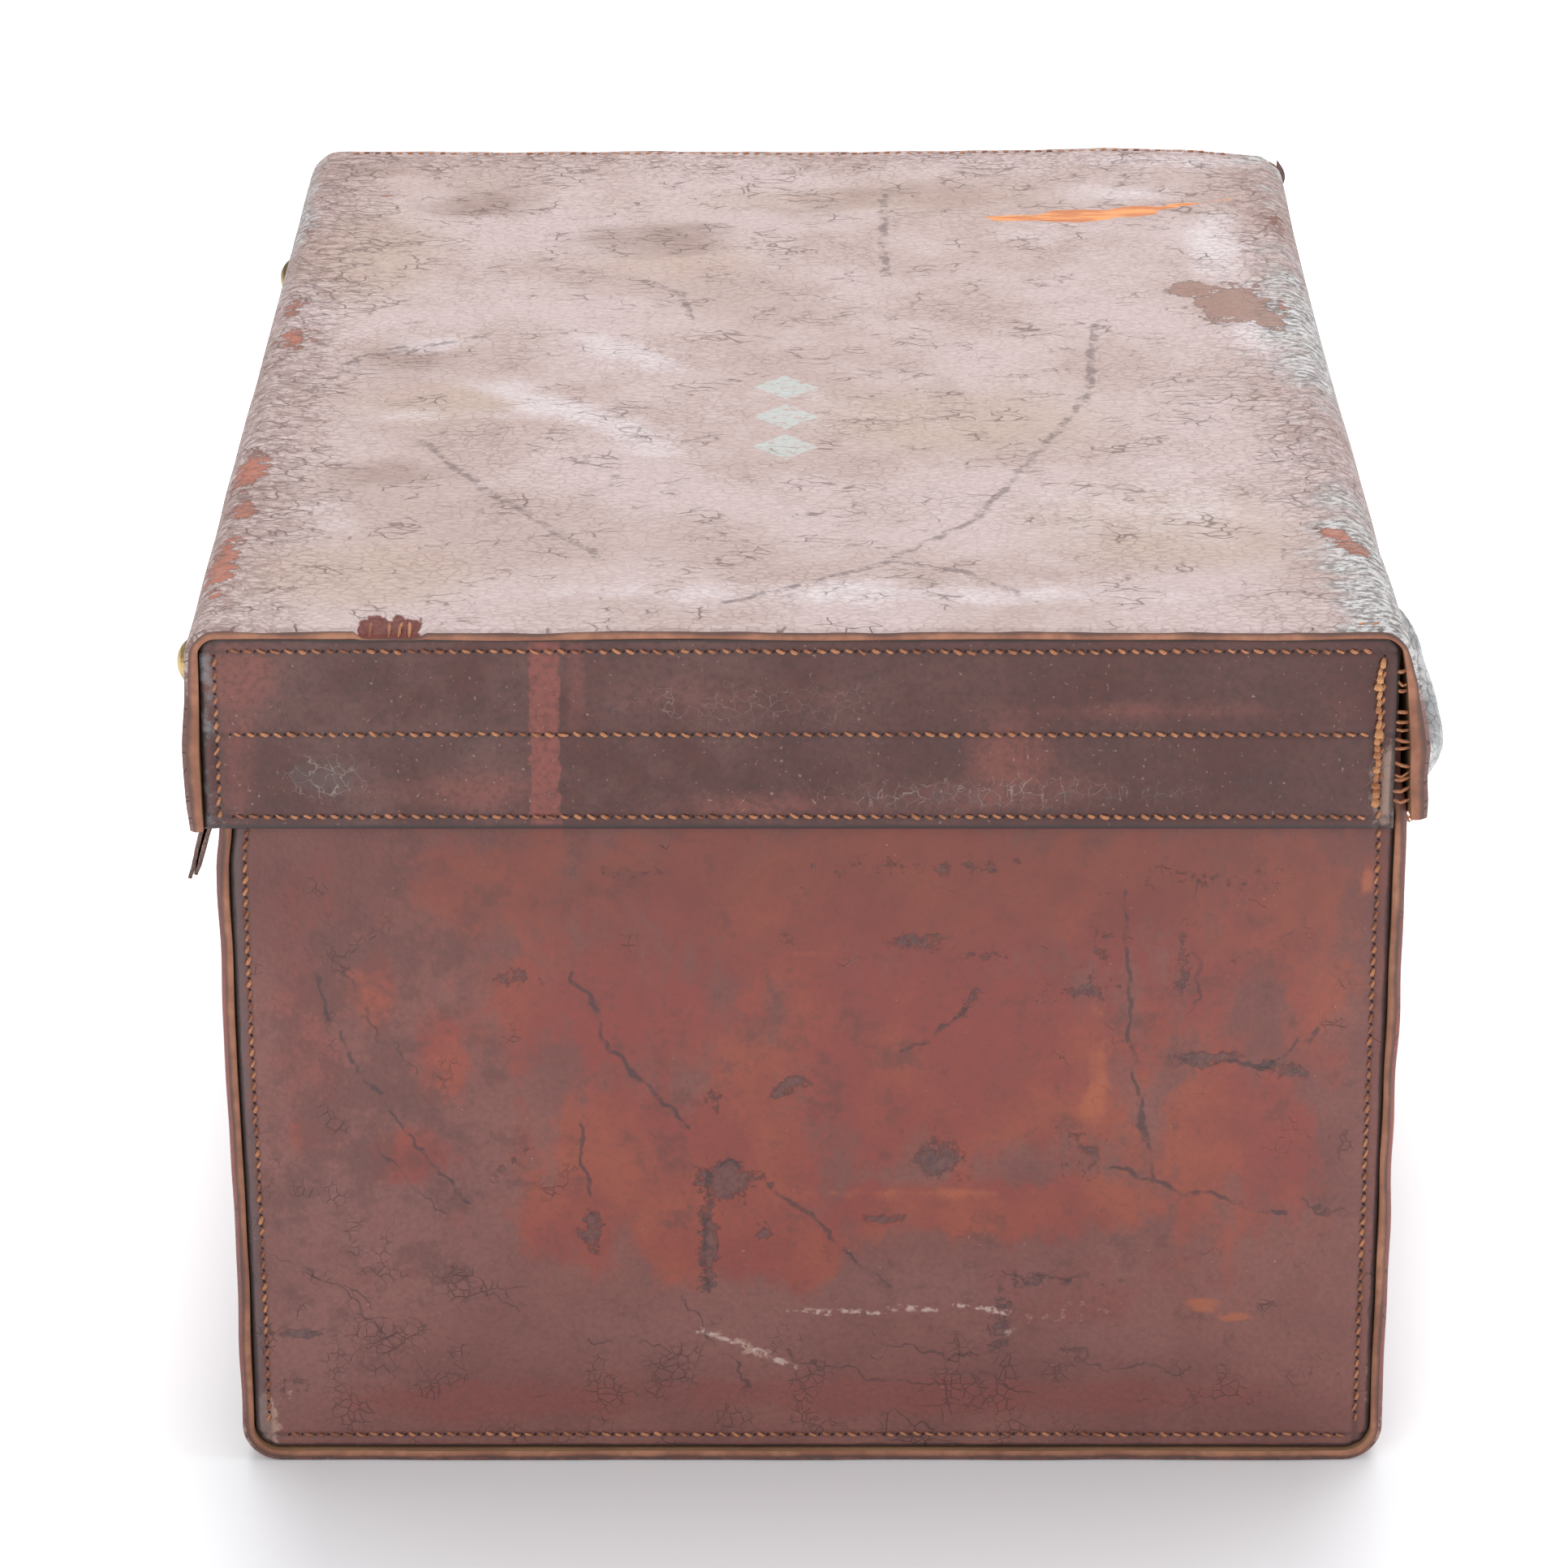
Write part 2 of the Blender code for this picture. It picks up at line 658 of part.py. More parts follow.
def tongue_plate():
    """Lies on the skirt and drops from its foot into the lock's slot, with a notch for the bolt."""
    lean = skirt_face(LID_FOOT) + GAP
    low = SLOT_LOW + TONGUE_DEPTH
    path = ((skirt_face(TONGUE_TOP) + GAP, TONGUE_TOP), (lean, LID_FOOT),
            (low + 0.0001, LOCK_TOP - 0.001), (low, TONGUE_FOOT))
    obj = bent_strip("tongue_plate", path, BRASS, TONGUE_HALF, brass, into=1)
    notch = box_cutter("tongue_notch", (low - CUT, TONGUE_HALF - BOLT_TRAVEL, BOLT_FOOT - BOLT_GAP),
                       (low + CUT, TONGUE_HALF + CUT, BOLT_TOP + BOLT_GAP))
    cut(obj, notch)
    cut(obj, tongue_holes)
    return obj


def tongue_rivets():
    for i, y in enumerate(TONGUE_RIVETS_Y, 1):
        skirt = skirt_face(TONGUE_RIVET_Z)
        face = skirt + GAP + BRASS + 0.0002
        rivet(f"tongue_rivet_{i}", y, TONGUE_RIVET_Z, face, skirt - LEATHER, TONGUE_RIVET_HEAD,
              peened=False)


# Moving pieces hang from an empty on their axis

def pivot(name, place, children):
    empty = bpy.data.objects.new(name, None)
    bpy.context.scene.collection.objects.link(empty)
    empty.location = place
    bpy.context.view_layer.update()
    for child in children:
        child.parent = empty
        child.matrix_parent_inverse = empty.matrix_world.inverted()


clear_scene()
parts = collection("hat_box", hidden=False)
cutters = collection("cutters", hidden=True)

leather_red = material("leather_red", (0.24, 0.07, 0.045), 0.42)
leather_dark = material("leather_dark", (0.13, 0.06, 0.055), 0.5)
leather_pale = material("leather_pale", (0.48, 0.42, 0.40), 0.65)
leather_strap = material("leather_strap", (0.16, 0.08, 0.06), 0.55)
linen = material("linen", (0.55, 0.47, 0.35), 0.85)
wood = material("wood", (0.42, 0.27, 0.15), 0.6)
brass = material("brass", (0.62, 0.45, 0.20), 0.35, metallic=1.0)
steel = material("steel", (0.45, 0.44, 0.42), 0.4, metallic=1.0)

front_places = handle_rivet_places() + lock_rivet_places()
shank_hole = RIVET_SHANK + GAP
front_holes = rod_group("front_holes", shank_hole, LINING_INNER - CUT, WALL + 2 * CUT, front_places)
stud_places = [(side * (LID_END - STUD_FROM_END), STUD_Z) for side in (-1, 1)]
tongue_places = [(y, TONGUE_RIVET_Z) for y in TONGUE_RIVETS_Y]
stud_holes = rod_group("stud_holes", STUD_SHANK + GAP, LID_BACK - CUT, SKIRT_BACK_INNER + CUT,
                       stud_places)
tongue_holes = rod_group("tongue_holes", shank_hole, SKIRT_FRONT_INNER - CUT, LID_FRONT + 2 * CUT,
                         tongue_places)
washer_room = rod_group("washer_room", WASHER_ROOM, LID_BACK - CUT, LID_BACK + 3 * CUT, stud_places)

body_wrap()
body_end("body_end_near", -1)
body_end("body_end_far", 1)
linings()
hinge_body_leaf()
handle_mounts()
rivet_face = WALL + GAP + BRASS
rivet_end = LINING_INNER - GAP - BRASS
for number, place in enumerate(handle_rivet_places(), 1):
    rivet(f"handle_rivet_{number}", *place, rivet_face, rivet_end, RIVET_HEAD)
bolt_parts = lock()
for number, place in enumerate(lock_rivet_places(), 1):
    rivet(f"lock_rivet_{number}", *place, rivet_face, rivet_end, LOCK_RIVET_HEAD)
pivot("bolt_axis", (SLOT_LOW, BOLT_START, BOLT_FOOT), bolt_parts)
pivot("handle_axis", HANDLE_PIVOT, handle())

before_lid = set(parts.objects)
lid_wrap()
lid_end("lid_end_near", -1, SKIRT_FRONT_INNER - GAP)
lid_end("lid_end_far", 1, SKIRT_FRONT_INNER - GAP + LID_FLARE)
lid_inside()
hinge_lid_leaf()
stud("stud_near", "stud_washer_near", stud_places[0][0])
stud("stud_far", "stud_washer_far", stud_places[1][0])
tongue_plate()
tongue_rivets()
pivot("lid_axis", (LID_BACK, 0, LID_FOOT), set(parts.objects) - before_lid)
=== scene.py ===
"""Looks of an old leather hat box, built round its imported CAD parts.

All places are in metres in the CAD frame: +X front, +Y along the box, +Z up. The end at -Y is the near end.
Colours are sRGB values from 0 to 255.
"""

import json
import math

import bmesh
import bpy
import numpy as np
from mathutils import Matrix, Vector


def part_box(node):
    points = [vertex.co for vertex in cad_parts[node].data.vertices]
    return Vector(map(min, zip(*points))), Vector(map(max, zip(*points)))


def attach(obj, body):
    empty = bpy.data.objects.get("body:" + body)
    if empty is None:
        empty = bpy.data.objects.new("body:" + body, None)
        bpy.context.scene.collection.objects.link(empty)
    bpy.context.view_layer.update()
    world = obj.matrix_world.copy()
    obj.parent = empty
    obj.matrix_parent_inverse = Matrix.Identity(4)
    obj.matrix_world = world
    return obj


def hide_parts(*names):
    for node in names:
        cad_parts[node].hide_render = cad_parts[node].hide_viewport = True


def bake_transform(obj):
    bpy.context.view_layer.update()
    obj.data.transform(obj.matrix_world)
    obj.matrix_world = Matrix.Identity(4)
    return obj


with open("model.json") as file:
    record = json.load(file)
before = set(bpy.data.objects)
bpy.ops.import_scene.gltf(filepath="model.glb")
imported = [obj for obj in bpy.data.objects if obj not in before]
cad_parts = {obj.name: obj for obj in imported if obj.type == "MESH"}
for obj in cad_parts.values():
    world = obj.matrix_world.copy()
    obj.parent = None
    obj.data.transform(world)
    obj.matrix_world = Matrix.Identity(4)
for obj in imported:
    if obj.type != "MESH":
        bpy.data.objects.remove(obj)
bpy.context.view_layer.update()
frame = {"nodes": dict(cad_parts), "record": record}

MM = 0.001
LEATHER = 3.6 * MM

LID_LOW, LID_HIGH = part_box("lid_wrap")
BODY_LOW, BODY_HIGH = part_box("body_wrap")


def shade(colour):
    """A colour of three 0 to 255 values as the linear colour that a shader takes. All else stays as it is."""
    if not isinstance(colour, tuple) or len(colour) != 3:
        return colour
    return tuple(c / 255 / 12.92 if c <= 10 else ((c / 255 + 0.055) / 1.055) ** 2.4 for c in colour) + (1.0,)


# Camera, light and floor

FLOOR_REACH = 9.0


def camera():
    data = bpy.data.cameras.new("camera")
    data.lens = 134.5
    data.sensor_width = 36
    obj = bpy.data.objects.new("camera", data)
    obj.location = (-0.007, -1.857, 0.877)
    obj.rotation_euler = (math.radians(68), 0, 0)
    bpy.context.scene.collection.objects.link(obj)
    bpy.context.scene.camera = obj


def soft_light(name, place, target, size, power):
    data = bpy.data.lights.new(name, "AREA")
    data.shape = "RECTANGLE"
    data.size, data.size_y = size
    data.energy = power
    obj = bpy.data.objects.new(name, data)
    obj.location = place
    obj.rotation_euler = (Vector(target) - Vector(place)).to_track_quat("-Z", "Y").to_euler()
    bpy.context.scene.collection.objects.link(obj)


def studio():
    """A pale floor, painted grey near the box as a painted shadow and glowing white away from it as painted
    light, a pale sky and three soft lights.
    """
    scene = bpy.context.scene
    scene.view_settings.view_transform = "Standard"
    scene.view_settings.look = "None"
    world = bpy.data.worlds.new("studio")
    world.use_nodes = True
    back = world.node_tree.nodes["Background"]
    back.inputs["Color"].default_value = (0.96, 0.98, 1.0, 1)
    back.inputs["Strength"].default_value = 0.62
    scene.world = world
    soft_light("overhead", (0.1, 0.6, 2.2), (0, 0, 0.15), (2.2, 1.8), 46)
    soft_light("front_fill", (-0.9, -2.4, 1.3), (0, 0, 0.12), (1.6, 1.2), 26)
    soft_light("side_fill", (1.9, -0.6, 0.9), (0, 0, 0.15), (1.0, 1.2), 9)
    floor = bpy.data.meshes.new("floor")
    corners = [(x * FLOOR_REACH, y * FLOOR_REACH, 0) for x, y in ((-1, -1), (1, -1), (1, 1), (-1, 1))]
    floor.from_pydata(corners, [], [(0, 1, 2, 3)])
    floor = bpy.data.objects.new("floor", floor)
    scene.collection.objects.link(floor)
    g = Graph("studio_floor")
    # Painted shadow and painted light: the floor's colour is greyer near the box, and its emission makes it
    # glow white away from the box
    away = g.most(g.smooth(g.axis("Y"), -0.45, 1.1), g.smooth(g.math("ABSOLUTE", g.axis("X")), 0.13, 0.30))
    g.shader.inputs["Roughness"].default_value = 0.55
    g.link(g.shader.inputs["Base Color"], g.mix(away, (228, 228, 230), (252, 252, 252)))
    g.link(g.shader.inputs["Emission Color"], g.mix(away, (0, 0, 0), (255, 255, 255)))
    g.shader.inputs["Emission Strength"].default_value = 0.6
    floor.data.materials.append(g.material)


# A short way to write a material's nodes

class Graph:
    """A material's nodes. colour is the colour so far, which paint lays more over."""

    def __init__(self, name, colour=None):
        self.material = bpy.data.materials.new(name)
        self.material.use_nodes = True
        self.tree = self.material.node_tree
        self.shader = self.tree.nodes["Principled BSDF"]
        self.place = self.add("ShaderNodeTexCoord").outputs["Object"]
        self.split = None
        self.colour = colour

    def add(self, kind, **settings):
        node = self.tree.nodes.new(kind)
        for key, value in settings.items():
            setattr(node, key, value)
        return node

    def link(self, socket, value):
        if isinstance(value, bpy.types.NodeSocket):
            self.tree.links.new(value, socket)
        else:
            socket.default_value = value

    def fill(self, node, **values):
        """Gives a node's sockets values. An underscore stands for a space in a socket's name."""
        for key, value in values.items():
            self.link(node.inputs[key.replace("_", " ")], value)
        return node

    def math(self, operation, first, second=0.0):
        node = self.add("ShaderNodeMath", operation=operation)
        self.link(node.inputs[0], first)
        self.link(node.inputs[1], second)
        return node.outputs[0]

    def plus(self, first, second):
        return self.math("ADD", first, second)

    def less(self, first, second):
        return self.math("SUBTRACT", first, second)

    def most(self, first, second):
        return self.math("MAXIMUM", first, second)

    def times(self, *values):
        total = values[0]
        for value in values[1:]:
            total = self.math("MULTIPLY", total, value)
        return total

    def vector(self, operation, first, second=(0, 0, 0), scale=None, output=0):
        node = self.add("ShaderNodeVectorMath", operation=operation)
        self.link(node.inputs[0], first)
        self.link(node.inputs[1], second)
        if scale is not None:
            self.link(node.inputs["Scale"], scale)
        return node.outputs[output]

    def axis(self, letter):
        if self.split is None:
            self.split = self.add("ShaderNodeSeparateXYZ")
            self.link(self.split.inputs[0], self.place)
        return self.split.outputs[letter]

    def mask(self, name):
        return self.add("ShaderNodeAttribute", attribute_name=name).outputs["Fac"]

    def noise(self, scale, detail=3.0, rough=0.5, stretch=None, output="Fac"):
        place = self.vector("MULTIPLY", self.place, stretch) if stretch else self.place
        node = self.add("ShaderNodeTexNoise")
        return self.fill(node, Vector=place, Scale=scale, Detail=detail, Roughness=rough).outputs[output]

    def cells(self, scale, vector, feature="DISTANCE_TO_EDGE"):
        node = self.add("ShaderNodeTexVoronoi", feature=feature)
        return self.fill(node, Vector=vector, Scale=scale).outputs["Distance"]

    def smooth(self, value, low, high):
        node = self.add("ShaderNodeMapRange", interpolation_type="SMOOTHSTEP", clamp=False)
        return self.fill(node, Value=value, From_Min=low, From_Max=high).outputs["Result"]

    def stirred(self, value, noise, amount):
        """A value made uneven by noise."""
        return self.plus(value, self.times(self.less(noise, 0.5), amount))

    def patch(self, name, noise, amount, low, high):
        """1 where a mask of the mesh lies and 0 elsewhere, its edge broken by noise."""
        return self.smooth(self.stirred(self.mask(name), noise, amount), low, high)

    def mix(self, factor, first, second):
        node = self.add("ShaderNodeMix", data_type="RGBA", blend_type="MIX")
        self.link(node.inputs[0], factor)
        self.link(node.inputs[6], shade(first))
        self.link(node.inputs[7], shade(second))
        return node.outputs[2]

    def paint(self, colour, *amounts):
        """Lays a colour over the colour so far, by the product of the amounts."""
        self.colour = self.mix(self.times(*amounts), self.colour, colour)

    def warped(self, stretch, scale, amount):
        """Object places stretched, and stirred by noise so that nothing runs dead straight."""
        stir = self.vector("SUBTRACT", self.noise(scale, 2.0, output="Color"), (0.5, 0.5, 0.5))
        stir = self.vector("SCALE", stir, scale=amount)
        return self.vector("ADD", self.vector("MULTIPLY", self.place, stretch), stir)

    def cracks(self, scale, stretch, width, stir, stir_scale):
        """1 along the edges of stretched cells, 0 inside them."""
        return self.smooth(self.cells(scale, self.warped(stretch, stir_scale, stir)), width, 0.0)

    def broken_cracks(self, scale, keep, width, stretch, size):
        """Short cracks that start and end: parts of a stirred net, kept where a slow noise is high."""
        net = self.cracks(scale, stretch, width, 1.1 / scale, scale * 0.55)
        return self.times(net, self.smooth(self.plus(self.noise(size, 5, 0.62), keep), 0.56, 0.66))

    def strokes(self, paths, width, stir, flat="XZ"):
        """1 near given paths of 2D points in millimetres, which lie in the XY or XZ plane."""
        keep = (1, 1, 0) if flat == "XY" else (1, 0, 1)
        place = self.vector("MULTIPLY", self.warped((1, 1, 1), 120, stir), keep)
        nearest = None
        for path in paths:
            points = [Vector((a, b, 0) if flat == "XY" else (a, 0, b)) * MM for a, b in path]
            for start, end in zip(points, points[1:]):
                way = end - start
                local = self.vector("SUBTRACT", place, start)
                along = self.vector("DOT_PRODUCT", local, way / way.length_squared, output=1)
                along = self.math("MINIMUM", self.most(along, 0.0), 1.0)
                foot = self.vector("SCALE", way, scale=along)
                gap = self.vector("DISTANCE", local, foot, output=1)
                nearest = gap if nearest is None else self.math("MINIMUM", nearest, gap)
        return self.smooth(nearest, width * MM, width * MM * 0.3)

    def bump(self, height, distance, strength, normal=None):
        node = self.fill(self.add("ShaderNodeBump"), Strength=strength, Distance=distance, Height=height)
        if normal is not None:
            self.link(node.inputs["Normal"], normal)
        return node.outputs[0]

    def done(self, roughness, normal, specular):
        self.fill(self.shader, Base_Color=self.colour, Roughness=roughness, Specular_IOR_Level=specular)
        if normal is not None:
            self.link(self.shader.inputs["Normal"], normal)
        return self.material


# Materials

LID_SCRATCHES = (
    ((98, 38), (93, -30), (80, -74), (66, -118), (51, -160), (21, -200), (-23, -232)),
    ((26, -197), (48, -206), (68, -232)),
    ((-122, -82), (-100, -130), (-62, -197)),
    ((-162, -32), (-148, 6), (-107, 29)),
    ((29, 194), (28, 94)),
    ((-59, 94), (-42, 75), (-39, 47)),
)


def painted_diamonds(g):
    """A plain painted mark: three small diamonds in a row along the box."""
    across = g.math("ABSOLUTE", g.math("DIVIDE", g.plus(g.axis("X"), 6.5 * MM), 11 * MM))
    nearest = None
    for middle in (-88, -57, -26):
        along = g.math("ABSOLUTE", g.math("DIVIDE", g.plus(g.axis("Y"), -middle * MM), 13 * MM))
        total = g.plus(across, along)
        nearest = total if nearest is None else g.math("MINIMUM", nearest, total)
    return g.smooth(g.stirred(nearest, g.noise(420, 4), 0.35), 1.0, 0.92)


def pale_leather():
    """The lid's top: dry, finely creased and chalky, rubbed bare in places, with painted sheen on the raised
    ridges of its dents.
    """
    g = Graph("leather_pale", (184, 166, 164))
    cloud, fine, edges = g.noise(38, 5, 0.62), g.noise(520, 3, 0.65), g.mask("edges")
    g.paint((168, 145, 138), g.smooth(g.noise(13, 5, 0.6), 0.40, 0.62), 0.75)
    g.paint((175, 154, 142), g.smooth(g.plus(g.mask("tan"), g.less(g.noise(8), 0.5)), 0.1, 0.8), 0.8)
    g.paint((143, 119, 110), g.patch("brown", cloud, 1.3, 0.3, 1.0), 0.8)
    # pale: chalky patches, and painted sheen on the raised ridges of the dents
    g.paint((204, 194, 196), g.patch("pale", cloud, 1.4, 0.2, 0.95), 0.85)
    g.paint((140, 118, 112), g.smooth(fine, 0.35, 0.7), 0.25)

    crease = g.cracks(380, (0.55, 1.0, 1.0), 0.13, 0.0045, 130)
    kept = g.plus(g.noise(60, 5, 0.62), g.plus(g.times(g.mask("brown"), 0.08), g.times(edges, 0.13)))
    long = g.times(g.cracks(190, (0.36, 1.0, 1.0), 0.06, 0.011, 70), g.smooth(kept, 0.50, 0.64))
    strong = g.smooth(g.plus(g.noise(26, 4), g.times(edges, 0.45)), 0.38, 0.75)
    stipple = g.times(g.smooth(g.plus(g.noise(300, 4, 0.65), g.times(edges, 0.16)), 0.60, 0.68), edges)
    g.paint((124, 102, 97), crease, g.plus(g.times(strong, 0.34), 0.16))
    g.paint((92, 70, 65), long, 0.7)
    g.paint((112, 82, 76), stipple, 0.45)

    flakes = g.smooth(g.noise(420, 5, 0.72, (0.6, 1.0, 1.0)), 0.42, 0.58)
    ash = g.patch("cool", g.noise(70, 5), 1.3, 0.30, 0.9)
    g.paint(g.mix(flakes, (104, 104, 102), (198, 198, 198)), ash, 0.8)
    skirt = g.mix(g.smooth(g.noise(22, 4), 0.35, 0.65), (104, 72, 66), (128, 100, 94))
    g.paint(g.mix(g.times(long, 0.7), skirt, (62, 46, 44)), g.patch("side", g.noise(75, 6), 1.3, 0.3, 0.8))
    bare = g.patch("bare", g.noise(170, 7, 0.75), 1.7, 0.47, 0.54)
    g.paint(g.mix(fine, (150, 112, 97), (120, 94, 84)), bare, 0.85)
    red = g.patch("red", g.noise(200, 7, 0.75), 2.1, 0.50, 0.60)
    g.paint(g.mix(g.smooth(cloud, 0.4, 0.6), (158, 88, 64), (112, 74, 62)), red, 0.8)
    streaks = g.noise(240, 4, 0.5, (0.2, 1.0, 1.0))
    g.paint(g.mix(g.smooth(streaks, 0.4, 0.6), (218, 146, 92), (184, 114, 74)),
            g.patch("gash", streaks, 0.8, 0.44, 0.52))
    g.paint(g.mix(fine, (118, 56, 46), (78, 40, 36)), g.patch("torn", g.noise(260, 5), 0.8, 0.4, 0.6))

    trace = g.smooth(g.noise(150, 6, 0.7), 0.42, 0.56)
    g.paint((86, 74, 74), g.times(g.strokes(LID_SCRATCHES, 2.2, 0.006, "XY"), trace), 0.6)
    chips = g.smooth(g.noise(330, 5, 0.7), 0.60, 0.54)
    g.paint((172, 179, 175), g.times(painted_diamonds(g), chips, g.less(1.0, g.times(long, 0.7))), 0.8)
    height = g.less(g.less(g.times(fine, 0.3), g.times(crease, 0.45)), long)
    height = g.less(height, g.times(g.most(bare, red), 0.8))
    normal = g.bump(cloud, 0.0007, 0.5, g.bump(height, 0.0004, 0.9))
    return g.done(g.plus(g.times(cloud, 0.2), 0.52), normal, 0.35)


def red_leather(name, dark_paths=(), pale_paths=(), crack_paths=()):
    """Saddle leather: polished red where it is rubbed, pebbled brown where its old surface is left."""
    g = Graph(name)
    broad, cloud, fine = g.noise(10, 4, 0.55), g.noise(44, 6, 0.66), g.noise(560, 3, 0.6)
    streaky = g.noise(60, 5, 0.68, (1.0, 1.0, 0.45))
    stir = g.stirred(g.times(g.less(broad, 0.5), 0.5), streaky, 1.5)
    stir = g.stirred(stir, g.noise(190, 5, 0.7), 0.5)
    red = g.smooth(g.plus(g.mask("red"), stir), 0.30, 0.66)
    plain = g.less(1.0, red)
    g.colour = g.mix(g.smooth(g.noise(16, 5, 0.6), 0.4, 0.62), (128, 60, 53), (141, 72, 55))
    g.paint((116, 58, 52), g.smooth(g.noise(90, 5), 0.42, 0.7), 0.45)
    bright = g.colour
    g.colour = g.mix(g.smooth(g.noise(24, 5), 0.35, 0.68), (124, 78, 71), (110, 67, 62))
    g.paint((125, 84, 79), g.mask("violet"), 0.7)
    g.paint((124, 64, 58), g.patch("ruddy", cloud, 1.6, 0.3, 0.8), 0.6)
    g.paint(bright, red, 0.92)

    mottle = g.plus(g.times(g.less(g.noise(75, 7, 0.7), 0.5), 2.8), g.mask("mottle"))
    g.paint((88, 56, 52), g.smooth(mottle, 0.40, 0.80), 0.55)
    # Painted shade: the walls grow darker towards their top, under the lid's skirt
    g.paint((84, 44, 39), g.smooth(g.plus(g.axis("Z"), g.times(cloud, 0.04)), 0.165, 0.225), 0.44)
    pebble = g.cells(520, g.warped((1, 1, 1), 300, 0.002), "F1")
    g.paint((76, 54, 52), g.smooth(pebble, 0.35, 0.8), plain, 0.14)
    g.paint((84, 54, 50), g.smooth(fine, 0.42, 0.75), 0.26)

    worn_down = g.less(g.times(g.mask("crack"), 0.14), 0.05)
    small = g.broken_cracks(300, worn_down, 0.07, (1, 1, 1), 60)
    large = g.broken_cracks(120, g.less(worn_down, 0.03), 0.028, (0.9, 1, 1.15), 30)
    crack = g.most(large, g.times(small, 0.75))
    if crack_paths:
        drawn = g.times(g.strokes(crack_paths, 0.6, 0.013), g.smooth(g.noise(90, 5), 0.36, 0.6))
        g.paint((60, 44, 44), drawn, 0.62)
    g.paint((62, 44, 44), crack, 0.6)
    speck = g.times(g.smooth(g.noise(820, 2), 0.74, 0.80), g.smooth(g.noise(30, 3), 0.45, 0.6))
    g.paint((196, 160, 140), speck, 0.55)

    patch = g.patch("dark", g.noise(190, 7, 0.78), 3.0, 0.55, 0.8)
    g.paint(g.mix(g.smooth(fine, 0.35, 0.65), (92, 72, 70), (66, 54, 56)), patch, 0.66)
    g.paint((158, 88, 60), g.patch("orange", cloud, 1.6, 0.5, 0.8), 0.7)
    g.paint((168, 138, 124), g.patch("worn", g.noise(260, 6, 0.7), 1.7, 0.48, 0.72), 0.7)
    # Painted shade in the grooves along the stitched seams
    g.paint((62, 42, 40), g.mask("seam"), 0.5)
    g.paint((82, 74, 76), g.patch("bloom", g.noise(120, 5), 1.3, 0.5, 0.9), 0.6)
    # Painted shade: a dark line in the narrow gap along the panel's edges, where it meets the wrap
    g.paint((46, 38, 38), g.patch("rim", g.noise(90, 4), 0.9, 0.35, 0.8), 0.8)
    if dark_paths:
        trace = g.smooth(g.noise(130, 6, 0.7), 0.40, 0.54)
        g.paint((58, 46, 48), g.times(g.strokes(dark_paths, 1.0, 0.008), trace), 0.7)
    if pale_paths:
        chalk = g.times(g.strokes(pale_paths, 1.3, 0.006), g.smooth(g.noise(420, 4), 0.47, 0.6))
        g.paint((196, 172, 164), chalk, 0.6)

    height = g.times(plain, g.less(g.times(fine, 0.4), g.times(g.smooth(pebble, 0.3, 0.8), 0.3)))
    height = g.less(height, g.most(crack, g.times(patch, 0.5)))
    normal = g.bump(cloud, 0.0006, 0.5, g.bump(height, 0.0003, 0.85))
    return g.done(g.plus(g.times(plain, 0.14), g.plus(g.times(cloud, 0.16), 0.30)), normal, 0.45)


def dark_leather():
    """The lid's end panels: dark brown with a grey bloom, and a redder strip where a strap used to lie."""
    g = Graph("leather_dark")
    cloud, small, fine = g.noise(24, 5, 0.6), g.noise(110, 6, 0.7), g.noise(560, 3, 0.6)
    g.colour = g.mix(g.smooth(cloud, 0.38, 0.62), (79, 45, 41), (93, 63, 59))
    g.paint((76, 42, 38), g.smooth(g.plus(g.axis("X"), g.times(cloud, 0.08)), 0.0, 0.13), 0.5)
    g.paint((72, 45, 43), g.smooth(g.noise(60, 6, 0.68, (0.6, 1, 1)), 0.44, 0.66), 0.55)
    g.paint((122, 70, 62), g.patch("red", cloud, 1.2, 0.2, 0.9), 0.75)

    across = g.add("ShaderNodeSeparateXYZ")
    g.link(across.inputs[0], g.vector("MULTIPLY", g.warped((1, 1, 1), 260, 0.0034), (1, 0, 0)))
    strips = [g.smooth(g.math("ABSOLUTE", g.plus(across.outputs["X"], middle * MM)), outer * MM, inner * MM)
              for middle, outer, inner in ((77.5, 4.9, 4.0), (68.0, 3.2, 1.6))]
    faint = g.times(strips[1], g.smooth(g.axis("Z"), 0.238, 0.256), 0.35)
    strip = g.most(g.times(strips[0], 0.9), faint)
    g.paint(g.mix(small, (132, 70, 62), (118, 68, 62)), strip, g.mask("strip"))
    g.paint((58, 38, 36), g.smooth(fine, 0.40, 0.70), 0.45)
    g.paint((58, 46, 48), g.smooth(g.noise(150, 6, 0.75), 0.56, 0.70), 0.45)

    rubbed = g.smooth(g.plus(g.mask("worn"), small), 0.78, 1.2)
    hairs = g.times(g.cracks(240, (1, 1, 1), 0.045, 0.008, 150), rubbed)
    worn = g.patch("worn", g.noise(200, 6, 0.7), 1.7, 0.5, 0.95)
    g.paint((150, 124, 112), worn, g.mask("rubbed"), 0.75)
    g.paint((80, 78, 78), worn, g.less(1.0, g.mask("rubbed")), 0.3)
    g.paint((160, 146, 138), hairs, 0.45)
    g.paint((168, 140, 128), g.smooth(g.noise(700, 3), 0.66, 0.74), 0.45)
    # Painted shade in the grooves along the stitched seams
    g.paint((52, 36, 34), g.mask("seam"), 0.5)
    # Painted shade: a dark line in the narrow gap along the panel's edges, where it meets the wrap
    g.paint((44, 36, 36), g.patch("rim", g.noise(90, 4), 0.9, 0.35, 0.8), 0.8)
    g.paint((122, 124, 128), g.times(g.mask("bloom"), g.smooth(small, 0.45, 0.62)), 0.6)
    g.paint((58, 46, 46), g.smooth(g.plus(g.axis("Z"), g.times(cloud, 0.003)), 0.2185, 0.2165), 0.6)
    height = g.less(g.times(fine, 0.4), g.plus(g.times(hairs, 0.6), g.times(worn, 0.4)))
    normal = g.bump(cloud, 0.0008, 0.5, g.bump(height, 0.0003, 0.8))
    return g.done(g.plus(g.times(cloud, 0.2), 0.34), normal, 0.42)


